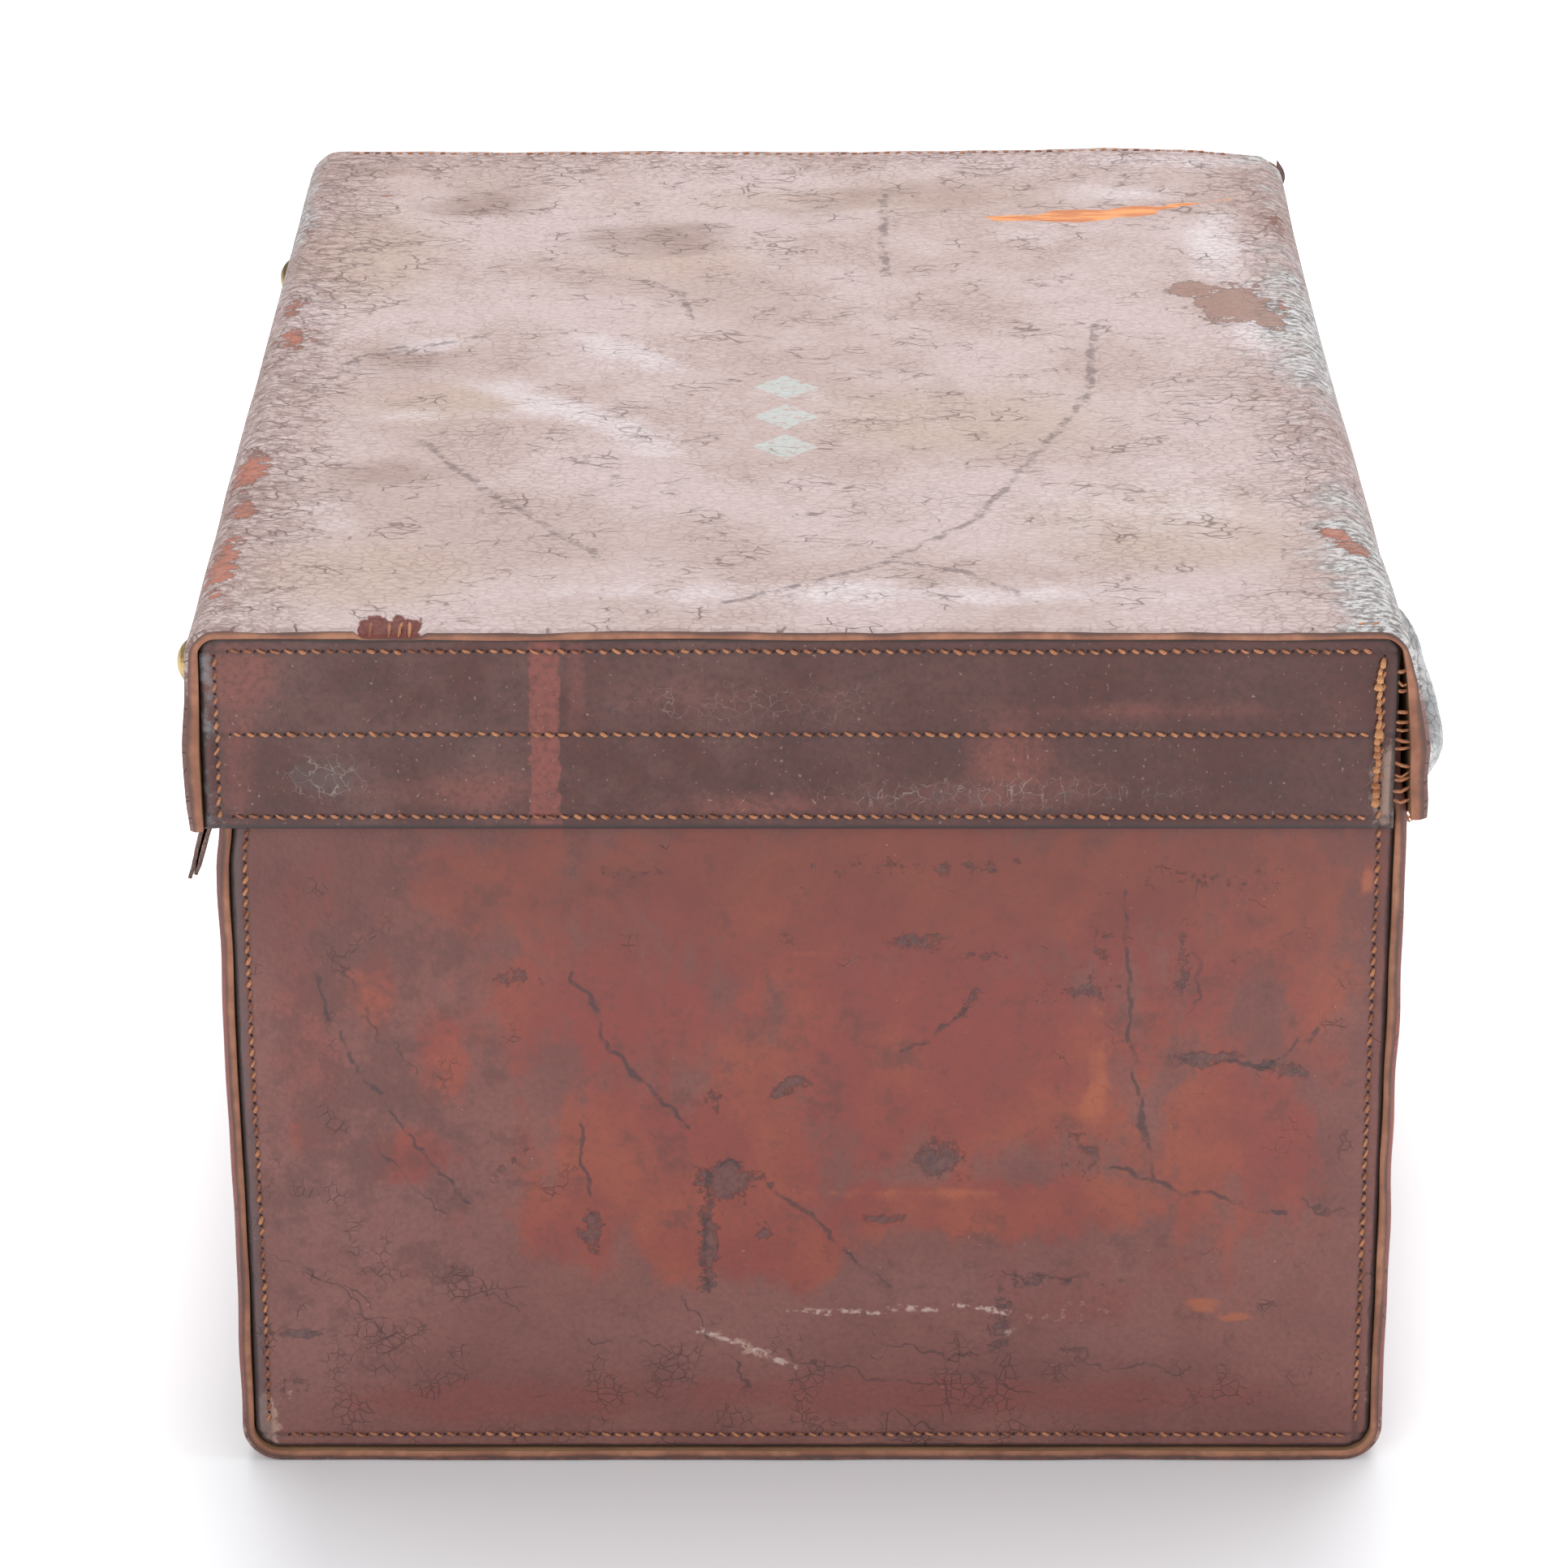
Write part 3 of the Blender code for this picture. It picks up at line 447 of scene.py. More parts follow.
def strap_leather():
    """Hinge and handle leather: brown, rubbed grey where it stands proud."""
    g = Graph("leather_strap")
    cloud, fine = g.noise(60, 4, 0.6), g.noise(600, 3)
    g.colour = g.mix(g.smooth(cloud, 0.35, 0.65), (92, 66, 60), (118, 92, 84))
    g.paint(g.mix(g.smooth(cloud, 0.4, 0.6), (146, 148, 150), (186, 186, 186)),
            g.patch("worn", g.noise(90, 4), 0.9, 0.35, 0.7))
    crack = g.cracks(300, (1.6, 0.3, 1.6), 0.07, 0.003, 120)
    g.paint((72, 58, 56), crack, 0.6)
    # Painted shade in the creases pressed into the grip
    g.paint((66, 50, 48), g.mask("crease"), 0.7)
    height = g.less(g.times(fine, 0.4), crack)
    return g.done(g.plus(g.times(cloud, 0.2), 0.42), g.bump(height, 0.0002, 0.8), 0.4)


def raw_edge():
    """Cut edge of the leather: tan fibres, burnished darker here and there."""
    g = Graph("raw_edge")
    fibres, patches = g.noise(700, 3, 0.5, (0.35, 1.0, 0.35)), g.noise(55, 4)
    g.colour = g.mix(g.smooth(patches, 0.35, 0.66), (159, 110, 86), (131, 85, 67))
    g.paint((110, 72, 58), g.smooth(fibres, 0.4, 0.7), 0.45)
    g.paint((78, 62, 60), g.patch("grain_side", patches, 0.8, 0.55, 0.95), 0.8)
    return g.done(0.62, g.bump(fibres, 0.0003, 0.8), 0.3)


def flesh_side():
    """The rough inside of the leather."""
    g = Graph("flesh_side")
    fluff = g.noise(380, 4, 0.7)
    g.colour = g.mix(g.smooth(g.noise(20, 3), 0.35, 0.65), (150, 112, 84), (122, 88, 66))
    g.paint((176, 140, 108), fluff, 0.4)
    return g.done(0.85, g.bump(fluff, 0.0004, 0.7), 0.2)


def thread(name, light, dark):
    """Waxed linen thread, its two strands twisted."""
    g = Graph(name)
    twist = g.add("ShaderNodeTexWave", wave_type="BANDS", bands_direction="DIAGONAL")
    twist = g.fill(twist, Vector=g.place, Scale=700, Distortion=1.5).outputs["Fac"]
    g.colour = g.mix(g.smooth(g.noise(90, 3), 0.38, 0.66), light, dark)
    g.paint((96, 56, 42), twist, 0.3)
    return g.done(0.6, g.bump(twist, 0.00025, 0.8), 0.3)


def hole_shade():
    # Painted shade: the dark colour that stands for the depth of the stitch holes
    g = Graph("stitch_hole_shade")
    g.colour = g.mix(g.noise(300, 2), (46, 30, 27), (72, 48, 42))
    return g.done(0.9, None, 0.1)


def old_brass():
    """Tarnished brass, brighter where it is touched."""
    g = Graph("old_brass")
    cloud = g.noise(150, 4, 0.6)
    g.shader.inputs["Metallic"].default_value = 1.0
    g.colour = g.mix(g.smooth(cloud, 0.35, 0.65), (176, 148, 92), (122, 98, 62))
    g.paint((84, 70, 50), g.smooth(g.noise(420, 3), 0.55, 0.75), 0.5)
    return g.done(g.plus(g.times(cloud, 0.3), 0.2), g.bump(g.noise(900, 2), 0.00005, 0.5), 0.5)


def old_steel():
    g = Graph("old_steel")
    cloud = g.noise(200, 4)
    g.shader.inputs["Metallic"].default_value = 1.0
    g.colour = g.mix(g.smooth(cloud, 0.4, 0.7), (150, 146, 140), (104, 88, 74))
    return g.done(g.plus(g.times(cloud, 0.3), 0.25), g.bump(cloud, 0.00006, 0.6), 0.5)


def linen():
    """Plain-woven cloth glued over board, yellowed and foxed."""
    g = Graph("linen")
    waves = [g.math("SINE", g.times(g.axis(letter), 5200.0)) for letter in "XYZ"]
    weave = g.plus(g.plus(waves[0], waves[1]), waves[2])
    g.colour = g.mix(g.smooth(g.noise(14, 4), 0.3, 0.75), (202, 185, 152), (188, 167, 132))
    g.paint((140, 108, 74), g.smooth(g.noise(70, 3), 0.66, 0.74), 0.5)
    g.paint((150, 130, 98), g.smooth(weave, 0.4, -1.4))
    return g.done(0.88, g.bump(weave, 0.00012, 0.6), 0.15)


def pine():
    g = Graph("pine")
    grain = g.noise(30, 5, 0.6, (12, 0.8, 12))
    g.colour = g.mix(g.smooth(grain, 0.35, 0.65), (172, 130, 88), (132, 92, 58))
    return g.done(0.6, g.bump(grain, 0.0003, 0.5), 0.3)


# Meshes

def mesh_object(name, points, faces, materials, indices=None, masks=None, sharp=50):
    """An object from arrays of points and of faces with equally many corners."""
    points = np.asarray(points, np.float32)
    faces = np.asarray(faces, np.int32)
    corners = faces.shape[1]
    data = bpy.data.meshes.new(name)
    data.vertices.add(len(points))
    data.vertices.foreach_set("co", points.ravel())
    data.loops.add(faces.size)
    data.loops.foreach_set("vertex_index", faces.ravel())
    data.polygons.add(len(faces))
    data.polygons.foreach_set("loop_start", np.arange(0, faces.size, corners, dtype=np.int32))
    for finish in materials:
        data.materials.append(finish)
    if indices is not None:
        data.polygons.foreach_set("material_index", np.asarray(indices, np.int32))
    data.update(calc_edges=True)
    data.validate()
    for key, values in (masks or {}).items():
        attribute = data.attributes.new(key, "FLOAT", "POINT")
        attribute.data.foreach_set("value", np.asarray(values, np.float32).ravel())
    data.shade_smooth()
    data.set_sharp_from_angle(angle=math.radians(sharp))
    obj = bpy.data.objects.new(name, data)
    bpy.context.scene.collection.objects.link(obj)
    return obj


def unit(rows):
    return rows / np.maximum(np.linalg.norm(rows, axis=-1, keepdims=True), 1e-9)


def face_out(obj):
    """Turns every face of a closed mesh outwards."""
    work = bmesh.new()
    work.from_mesh(obj.data)
    bmesh.ops.recalc_face_normals(work, faces=work.faces)
    work.to_mesh(obj.data)
    work.free()
    obj.data.shade_smooth()
    return obj


RIM_SHARES = (0.3, 0.7)


def slab(name, outer, inner, materials, masks=None, bulge=0.0004):
    """A closed sheet of leather between two grids of points, its cut edges slightly rounded.

    materials are the outside, the inside and the cut edge.
    """
    rows, columns = outer.shape[:2]
    count = rows * columns
    index = np.arange(count).reshape(rows, columns)

    def quads(grid):
        return np.stack([grid[:-1, :-1], grid[1:, :-1], grid[1:, 1:], grid[:-1, 1:]], -1).reshape(-1, 4)

    border = np.concatenate([index[0, :-1], index[:-1, -1], index[-1, :0:-1], index[:0:-1, 0]])
    within = np.concatenate([index[1, :-1], index[:-1, -2], index[-2, :0:-1], index[:0:-1, 1]])
    flat_outer, flat_inner = outer.reshape(-1, 3), inner.reshape(-1, 3)
    away = unit(flat_outer[border] + flat_inner[border] - flat_outer[within] - flat_inner[within])
    front, back = quads(index), quads(index + count)[:, ::-1]
    points, rings = [flat_outer, flat_inner], [border]
    for k, share in enumerate(RIM_SHARES):
        points.append(flat_outer[border] * (1 - share) + flat_inner[border] * share + away * bulge)
        rings.append(np.arange(len(border)) + 2 * count + k * len(border))
    rings.append(border + count)
    rim = np.concatenate([np.stack([a, np.roll(a, -1), np.roll(b, -1), b], -1)
                          for a, b in zip(rings, rings[1:])])
    kinds = np.concatenate([np.zeros(len(front)), np.ones(len(back)), np.full(len(rim), 2)])
    stored = {key: np.concatenate([v.ravel(), v.ravel()] + [v.ravel()[border]] * len(RIM_SHARES))
              for key, v in (masks or {}).items()}
    stored["grain_side"] = np.concatenate([np.ones(count), np.zeros(count)]
                                          + [np.full(len(border), 1 - share) for share in RIM_SHARES])
    faces = np.concatenate([front, back, rim])
    return face_out(mesh_object(name, np.concatenate(points), faces, materials, kinds, stored))


def arc_path(corners, radii, step, arc_steps=8):
    """Points of an open 2D path through corners, with arcs at them and straight runs cut into steps."""
    points = [np.array(corners[0], float)]
    for before, corner, after, radius in zip(corners, corners[1:], corners[2:], radii):
        corner = np.array(corner, float)
        back, on = unit(np.array(before, float) - corner), unit(np.array(after, float) - corner)
        half = math.acos(np.clip(back @ on, -1, 1)) / 2
        middle = corner + unit(back + on) * radius / math.sin(half)
        first = corner + back * radius / math.tan(half) - middle
        last = corner + on * radius / math.tan(half) - middle
        start, turn = math.atan2(first[1], first[0]), math.atan2(last[1], last[0])
        swing = (turn - start + math.pi) % (2 * math.pi) - math.pi
        for i in range(arc_steps + 1):
            angle = start + swing * i / arc_steps
            points.append(middle + radius * np.array([math.cos(angle), math.sin(angle)]))
    points.append(np.array(corners[-1], float))
    dense = [points[0]]
    for a, b in zip(points, points[1:]):
        cuts = max(1, round(np.linalg.norm(b - a) / step))
        dense += [a + (b - a) * (k + 1) / cuts for k in range(cuts)]
    return np.array(dense)


def normals_of(path):
    """Unit normals of an open path, to its right."""
    way = unit(np.gradient(path, axis=0))
    return np.stack([way[:, 1], -way[:, 0]], -1)


def swept(path, y):
    """A 2D path carried along the box: x, y and z of a grid of places."""
    x = path[:, :1] + 0 * y
    return x, y[None, :] + 0 * x, path[:, 1:] + 0 * y


def pushed(x, y, z, side, far):
    """Places moved along the path's normals."""
    return np.stack([x + side[:, :1] * far, y, z + side[:, 1:] * far], -1)


EDGE_ROWS = np.array([0, 0.35, 0.9, 1.6, 2.6, 3.4, 4.0, 4.5, 5.0, 5.5, 6.1, 7.0, 8.4]) * MM


def stations(low, high, step, extra=()):
    """Places between low and high: close together near both ends and near each extra one."""
    start, end = low + EDGE_ROWS, high - EDGE_ROWS[::-1]
    middle = np.linspace(start[-1], end[0], max(2, round((end[0] - start[-1]) / step)))[1:-1]
    for place in extra:
        near = place + np.array([-2.0, -1.2, -0.6, 0.0, 0.6, 1.2, 2.0]) * MM
        middle = np.concatenate([middle[np.abs(middle - place) > 2.6 * MM], near])
    return np.concatenate([start, np.sort(middle), end])


def smoothstep(value, low, high):
    """0 below low, 1 above high and smooth between them, or the other way round where low is the higher."""
    t = np.clip((value - low) / (high - low), 0, 1)
    return t * t * (3 - 2 * t)


def ease(value, low, high):
    """smoothstep of a length in metres between two in millimetres."""
    return smoothstep(value, low * MM, high * MM)


def rolled(distance, radius):
    """How far a surface falls at a distance from its edge, for an edge rounded to a radius."""
    short = np.clip(radius - distance, 0, radius)
    return radius - np.sqrt(radius * radius - short * short)


def blob(a, b, middle_a, middle_b, half_a, half_b, weight=1.0, turn=0.0):
    """A soft spot: its middle and half sizes in millimetres, its weight and its turn in degrees."""
    along = math.radians(turn)
    da, db = a / MM - middle_a, b / MM - middle_b
    u = da * math.cos(along) + db * math.sin(along)
    v = -da * math.sin(along) + db * math.cos(along)
    return weight * np.exp(-((u / half_a) ** 2 + (v / half_b) ** 2))


def blobs(a, b, spots):
    """The strongest of several blobs at each place. Each spot is what blob takes after its a and b."""
    total = np.zeros(np.broadcast(a, b).shape)
    for spot in spots:
        total = np.maximum(total, blob(a, b, *spot))
    return total


def ripple(a, b, seed, size, count=9):
    """Gentle unevenness between about -1 and 1, from sine waves of about a size in metres."""
    draw = np.random.default_rng(seed)
    total = 0
    for _ in range(count):
        angle, phase = draw.uniform(0, 2 * math.pi, 2)
        length = size * draw.uniform(0.6, 1.8)
        total = total + np.sin((a * math.cos(angle) + b * math.sin(angle)) * 2 * math.pi / length + phase)
    return total / count * 1.6


# The lid's wrap

# Dents and the spots of each mask, as blob takes them: X, Y, half sizes, a weight and a turn. A dent's
# weight is its height in mm.
LID_DENTS = ((-98, -55, 62, 13, 2.2, -50), (-60, 0, 48, 11, 1.4, -50), (-136, -112, 30, 26, -2.2),
    (-134, 4, 24, 30, -1.6), (40, -20, 80, 70, -1.6), (-100, 170, 46, 40, -1.8), (20, 150, 70, 26, 1.2, 8),
    (110, 90, 36, 70, 1.0, 10), (-60, -190, 50, 36, 0.8), (110, -180, 60, 40, -1.0, 20))
LID_SPOTS = {
    # pale: chalky patches, and painted sheen where the dents' ridges stand up
    "pale": ((96, 146, 56, 36, 0.42), (60, -160, 60, 30, 0.25), (-70, -60, 62, 16, 0.9, -45),
        (-58, 8, 44, 14, 0.7, -48), (-120, 20, 22, 12, 0.6, 20), (148, 130, 16, 60, 0.9, 4),
        (158, 40, 12, 70, 0.8), (120, 196, 40, 18, 0.6), (-150, -150, 16, 40, 0.5, 10),
        (20, -225, 120, 14, 0.6), (110, -140, 50, 50, 0.5, 30), (-110, -60, 34, 10, 0.5, -10),
        (-168, 60, 10, 60, 0.5), (20, -50, 60, 40, 0.4), (130, 238, 46, 14, 0.8)),
    "brown": ((0, 176, 40, 30, 0.55), (-53, 140, 34, 24), (-118, 186, 34, 22, 0.95), (-150, 150, 30, 60, 0.5),
        (40, 190, 90, 24, 0.6), (132, -34, 34, 8, 0.75, 28), (46, -26, 14, 24, 0.6),
        (-135, -114, 26, 20, 0.85), (-134, 6, 24, 20, 0.75), (20, 30, 44, 60, 0.35), (-158, 230, 20, 20, 0.7),
        (-40, -180, 50, 26, 0.35), (130, -60, 26, 50, 0.3), (96, -172, 20, 24, 0.5)),
    "red": ((-171, 24, 9, 16, 0.75), (-174, 60, 6, 20, 0.65), (-175, -110, 7, 26, 0.85),
        (-174, -150, 7, 14, 0.75), (-176, -200, 7, 34, 0.8), (-160, -38, 12, 2.4, 0.6),
        (167, -178, 6, 22, 0.75, 20), (172, 160, 6, 22, 0.5), (-176, 150, 5, 40, 0.5), (-146, 196, 9, 3, 0.6),
        (168, 60, 5, 24, 0.5), (-165, -236, 12, 6, 0.5)),
    "bare": ((150, 62, 17, 24), (136, 78, 12, 10, 1, 30), (163, 44, 8, 14, 0.8)),
    "gash": ((76, 163, 13, 5.2, 1.0, 2), (98, 166, 18, 8.0, 1.15, 10), (118, 172, 15, 6.4, 1.05, 20),
        (136, 180, 14, 3.2, 0.8, 22), (154, 187, 16, 2.2, 0.6, 12)),
    "tan": ((47, -60, 46, 34), (-155, 125, 26, 64), (-118, -46, 30, 20), (-132, -208, 34, 30),
        (110, -170, 44, 40, 0.9), (20, 190, 90, 24, 0.7), (-40, 110, 30, 20, 0.6)),
}
NOTCH_X = -122.3 * MM


def top_lift(x, y):
    """How far the lid's top stands above its flat height: worn dents and a sunken far corner."""
    dent = sum(blob(x, y, *spot) for spot in LID_DENTS)
    dent = dent * ease(LID_HIGH.y - np.abs(y), 4, 40) * ease(x - LID_LOW.x, 8, 30)
    dent = dent * ease(177.5 * MM - x, 8, 26)
    lift = np.minimum((dent + 0.45 * ripple(x, y, 3, 0.07) - 0.5) * MM, 0.7 * MM)
    corner = ease(x, 140, 178) * ease(y, 222, 254)
    left = ease(-x, 160, 182) * ease(y, 235, 254)
    rise = 1.3 * MM * blob(x, y, 118, 254, 56, 60)
    return lift + rise - 2.6 * MM * corner - 0.8 * MM * left


def notch_depth(x, y):
    """The torn place at the near edge, 18 mm wide."""
    ragged = 1 + 0.18 * np.sin(x / MM * 1.7) + 0.1 * np.sin(x / MM * 3.9)
    across = ease(9.2 * MM - np.abs(x - NOTCH_X), -1, 1.6)
    return across * ease(LID_LOW.y + 12 * MM * ragged - y, -1, 2.2)


def skirt_push(z, near, front):
    """How far the skirt's outer and inner faces stand off at the near end, where its seam has split."""
    outer, inner, back = (MM * np.interp(z / MM, (214, 222, 240, 262, 272, 279), row) for row in (
        (1.6, 2.2, 3.4, 1.4, -0.6, -1.0), (0.4, 0.8, 1.2, 0.8, 0.0, 0.0), (0.4, 1.2, 1.5, 0.8, 0.0, 0.0)))
    return near * (outer * front - back * (1 - front)), near * (inner * front - 0.1 * back * (1 - front))


def lid_wrap(outside, inside, edge):
    """The one-piece top and skirts: dented, bowed in at the front, standing off where the seam has split."""
    front, back = 177.5 * MM, LID_LOW.x
    top, foot = LID_HIGH.z, 214 * MM
    corners = ((front + 4 * MM, foot), (front, top), (back, top), (back, foot))
    path = arc_path(corners, (9 * MM, 9 * MM), 2.4 * MM)
    side = normals_of(path)
    x, y, z = swept(path, stations(LID_LOW.y, LID_HIGH.y, 2.5 * MM))
    flat = smoothstep(z, top - 9 * MM, top - 1 * MM)
    upright = 1 - flat
    lift = top_lift(x, y) * flat + 0.35 * MM * ripple(y, z, 5, 0.09) * upright
    border = np.minimum(y - LID_LOW.y, LID_HIGH.y - y)
    loose = ease(7 * MM - border, 0, 7)
    lift = lift + 0.45 * MM * ripple(x, z, 12, 0.035) * loose
    thin = 0.35 * MM * ripple(x, z, 14, 0.022) * loose
    torn = notch_depth(x, y) * flat
    fall = rolled(border, 1.3 * MM) + 2.1 * MM * torn + thin
    front_side = smoothstep(x, 0, 0.1)
    near = ease(-y, 188, 250)
    outer, inner = pushed(x, y, z, side, lift - fall), pushed(x, y, z, side, lift - LEATHER)
    bow = 5.6 * MM * (1 - (y / LID_HIGH.y) ** 2) + 2.0 * MM * np.exp(-((y + 130 * MM) / (90 * MM)) ** 2)
    bow = bow * ease(z, 258, 284) * smoothstep(x, 0.1, 0.17)
    worn_foot = 4.4 * MM * ease(-y, 234, 251) * ease(z, 236, 214) * front_side
    wave = 0.45 * MM * ripple(x, z, 11, 0.05) * loose
    hang = 0.5 * MM * ripple(y, x, 15, 0.06) * ease(224 * MM - z, 0, 8)
    for grid, push in zip((outer, inner), skirt_push(z, near, front_side)):
        grid[..., 0] += push * (np.abs(x) > 150 * MM) - bow
        grid[..., 1] += np.where(y < 0, 1, -1) * np.maximum(wave, -0.2 * MM)
        grid[..., 2] += worn_foot + np.maximum(hang, 0)
    cool_front = ease(x, 138, 176) * ease(z, 246, 258) * (0.62 + 0.30 * np.sin(y / MM / 40 + 0.6))
    cool_back = 0.6 * ease(-x, 168, 181) * ease(y, -60, 120)
    masks = {key: blobs(x, y, spots) * (ease(z, 262, 272) if key == "red" else flat)
             for key, spots in LID_SPOTS.items()}
    masks.update({
        "edges": np.maximum(ease(np.abs(x), 136, 172), 0.8 * ease(y, 200, 250)),
        "cool": np.maximum(cool_front, cool_back) + 0.35 * ease(x, 150, 172) * ease(-y, 190, 250),
        "side": ease(z, 272, 244) + 0 * x,
        "torn": torn,
    })
    return slab("lid_shell", outer, inner, (outside, inside, edge), masks)


def lid_lining(cloth):
    """The cloth-covered board under the lid's top, which follows its dents."""
    low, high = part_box("lid_lining_top")
    x, y = np.meshgrid(np.linspace(low.x, high.x - 8 * MM, 46), np.linspace(low.y, high.y, 66), indexing="ij")
    z = high.z + np.minimum(top_lift(x, y), 0)
    outer = np.stack([x, y, z], -1)
    inner = np.stack([x, y, z - (high.z - low.z)], -1)
    return slab("lid_lining", outer, inner, (cloth, cloth, cloth), bulge=0.0002)


def swollen(x, y, z):
    """The walls bulge at the near end, most of all at the front: it is what split the lid's seam."""
    near = ease(-y, 180, 244)
    right = 3.5 * MM * ease(x, 90, 172) * (1 - 0.8 * ease(z, 216, 232))
    left = 1.3 * MM * ease(-x, 120, 172) * ease(z, 40, 170)
    return x + near * (right - left * (1 - ease(z, 200, 213)))


# Spots of the walls' masks, by Y and Z
WRAP_SPOTS = {
    "red": ((0, 150, 150, 60), (-140, 90, 50, 40)),
    "violet": ((-200, 60, 60, 60), (200, 120, 50, 90), (40, 20, 200, 20)),
    "crack": ((0, 10, 260, 50), (-220, 120, 30, 120), (220, 120, 30, 120)),
    "orange": ((90, 60, 12, 5), (-60, 110, 8, 12), (180, 190, 10, 6)),
    "worn": ((-236, 10, 16, 12), (236, 12, 20, 10), (30, 4, 120, 5)),
}


def body_wrap(outside, inside, edge):
    """The one-piece walls and bottom."""
    wall, height = BODY_HIGH.x, BODY_HIGH.z
    path = arc_path(((-wall, height), (-wall, 0), (wall, 0), (wall, height)), (12 * MM, 12 * MM), 4.2 * MM)
    side = normals_of(path)
    x, y, z = swept(path, stations(BODY_LOW.y, BODY_HIGH.y, 4.2 * MM))
    upright = ease(z, 6, 30)
    border = BODY_HIGH.y - np.abs(y)
    away = ease(border, 4, 60)
    still = 1 - ease(z, 200, 214)
    mounts = np.where(x > 0, 1 - blobs(y, z, ((0, 172, 112, 42),)), 1.0)
    loose = ease(7 * MM - border, 0, 7)
    lift = 0.7 * MM * ripple(y, z, 21, 0.13) * upright * away * still * mounts - 0.2 * MM * upright
    lift = lift + 0.4 * MM * ripple(x, z, 22, 0.04) * loose * still * upright
    thin = 0.3 * MM * ripple(x, z, 24, 0.025) * loose
    fall = rolled(border, 1.3 * MM) + thin * upright
    outer, inner = pushed(x, y, z, side, lift - fall), pushed(x, y, z, side, lift - LEATHER)
    wave = 0.4 * MM * ripple(x, z, 25, 0.05) * loose
    for grid in (outer, inner):
        grid[..., 1] += -np.sign(y) * np.maximum(wave, -0.2 * MM)
        grid[..., 0] = swollen(grid[..., 0], grid[..., 1], grid[..., 2])
    masks = {key: blobs(y, z, spots) for key, spots in WRAP_SPOTS.items()}
    masks["red"] = upright * (0.35 + 0.45 * masks["red"])
    masks["violet"] = 0.5 * masks["violet"]
    masks["dark"] = 0.6 * (1 - ease(z, 8, 30))
    for key, level in (("seam", 0), ("rim", 0), ("bloom", 0), ("ruddy", 0.4), ("mottle", 0.2)):
        masks[key] = level + 0 * x
    return slab("body_shell", outer, inner, (outside, inside, edge), masks)


# End panels

def rounded_grid(u, v, low, high, radii):
    """Moves a grid's points that lie outside rounded corners onto them. radii are for low v, then high v."""
    u, v = np.meshgrid(u, v, indexing="ij")
    for radius, corner_v, way_v in ((radii[0], low[1], 1), (radii[1], high[1], -1)):
        if not radius:
            continue
        for corner_u, way_u in ((low[0], 1), (high[0], -1)):
            middle_u, middle_v = corner_u + way_u * radius, corner_v + way_v * radius
            du, dv = (u - middle_u) * -way_u, (v - middle_v) * -way_v
            inside = (du > 0) & (dv > 0)
            reach = np.hypot(du, dv)
            square = np.maximum(du, dv)
            scale = np.where(inside & (reach > 0), square / np.maximum(reach, 1e-9), 1.0)
            u = np.where(inside, middle_u - way_u * du * scale, u)
            v = np.where(inside, middle_v - way_v * dv * scale, v)
    return u, v


SEAM_INSET = 4.6 * MM
LID_MIDDLE_SEAM = 244.4 * MM


def end_panel(name, node, materials, radii, seams, bulge, masks, seed, shape):
    """A sewn-in end panel: rounded at its edges, pulled in along its seams and a little uneven.

    seams are the heights of its level rows of stitches. shape moves the finished places along X.
    """
    low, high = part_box(node)
    outward = -1 if low.y < 0 else 1
    face = low.y if outward < 0 else high.y
    back = high.y if outward < 0 else low.y
    u = stations(low.x, high.x, 2.8 * MM)
    v = stations(low.z, high.z, 2.8 * MM, seams[1:-1])
    x, z = rounded_grid(u, v, (low.x, low.z), (high.x, high.z), radii)
    border = np.minimum(np.minimum(u[:, None] - low.x, high.x - u[:, None]),
                        np.minimum(v[None, :] - low.z, high.z - v[None, :]))
    lines = [z - row for row in seams] + [x - low.x - SEAM_INSET, x - high.x + SEAM_INSET]
    seam = np.exp(-(np.min(np.abs(lines), axis=0) / (0.9 * MM)) ** 2)
    y = face + outward * (panel_swell(x, z, border, bulge, seed) - rolled(border, 1.5 * MM) - 0.4 * MM * seam)
    made = masks(x, z)
    # The seam profile that pulls the surface in also darkens its colour: painted shade in the seam grooves
    made["seam"] = seam
    # rim: painted shade in the narrow gap along the panel's edges
    made["rim"] = ease(2.6 * MM - border, 0, 1.9)
    made["bloom"] = smoothstep(-x, -low.x - 6 * MM, -low.x - 2 * MM) * ease(6 * MM - border, 0, 2)
    moved = shape(x, face + 0 * x, z) if shape else x
    outer = np.stack([moved, y, z], -1)
    inner = np.stack([moved, np.full_like(x, back), z], -1)
    return slab(name, outer, inner, materials, made)


def panel_swell(x, z, border, bulge, seed):
    """How far an end panel stands out beyond its flat place."""
    swell = bulge * ease(border, 6, 60) + 0.28 * MM * ripple(x, z, seed, 0.08)
    return swell * ease(border, 0, 9) - 0.35 * MM


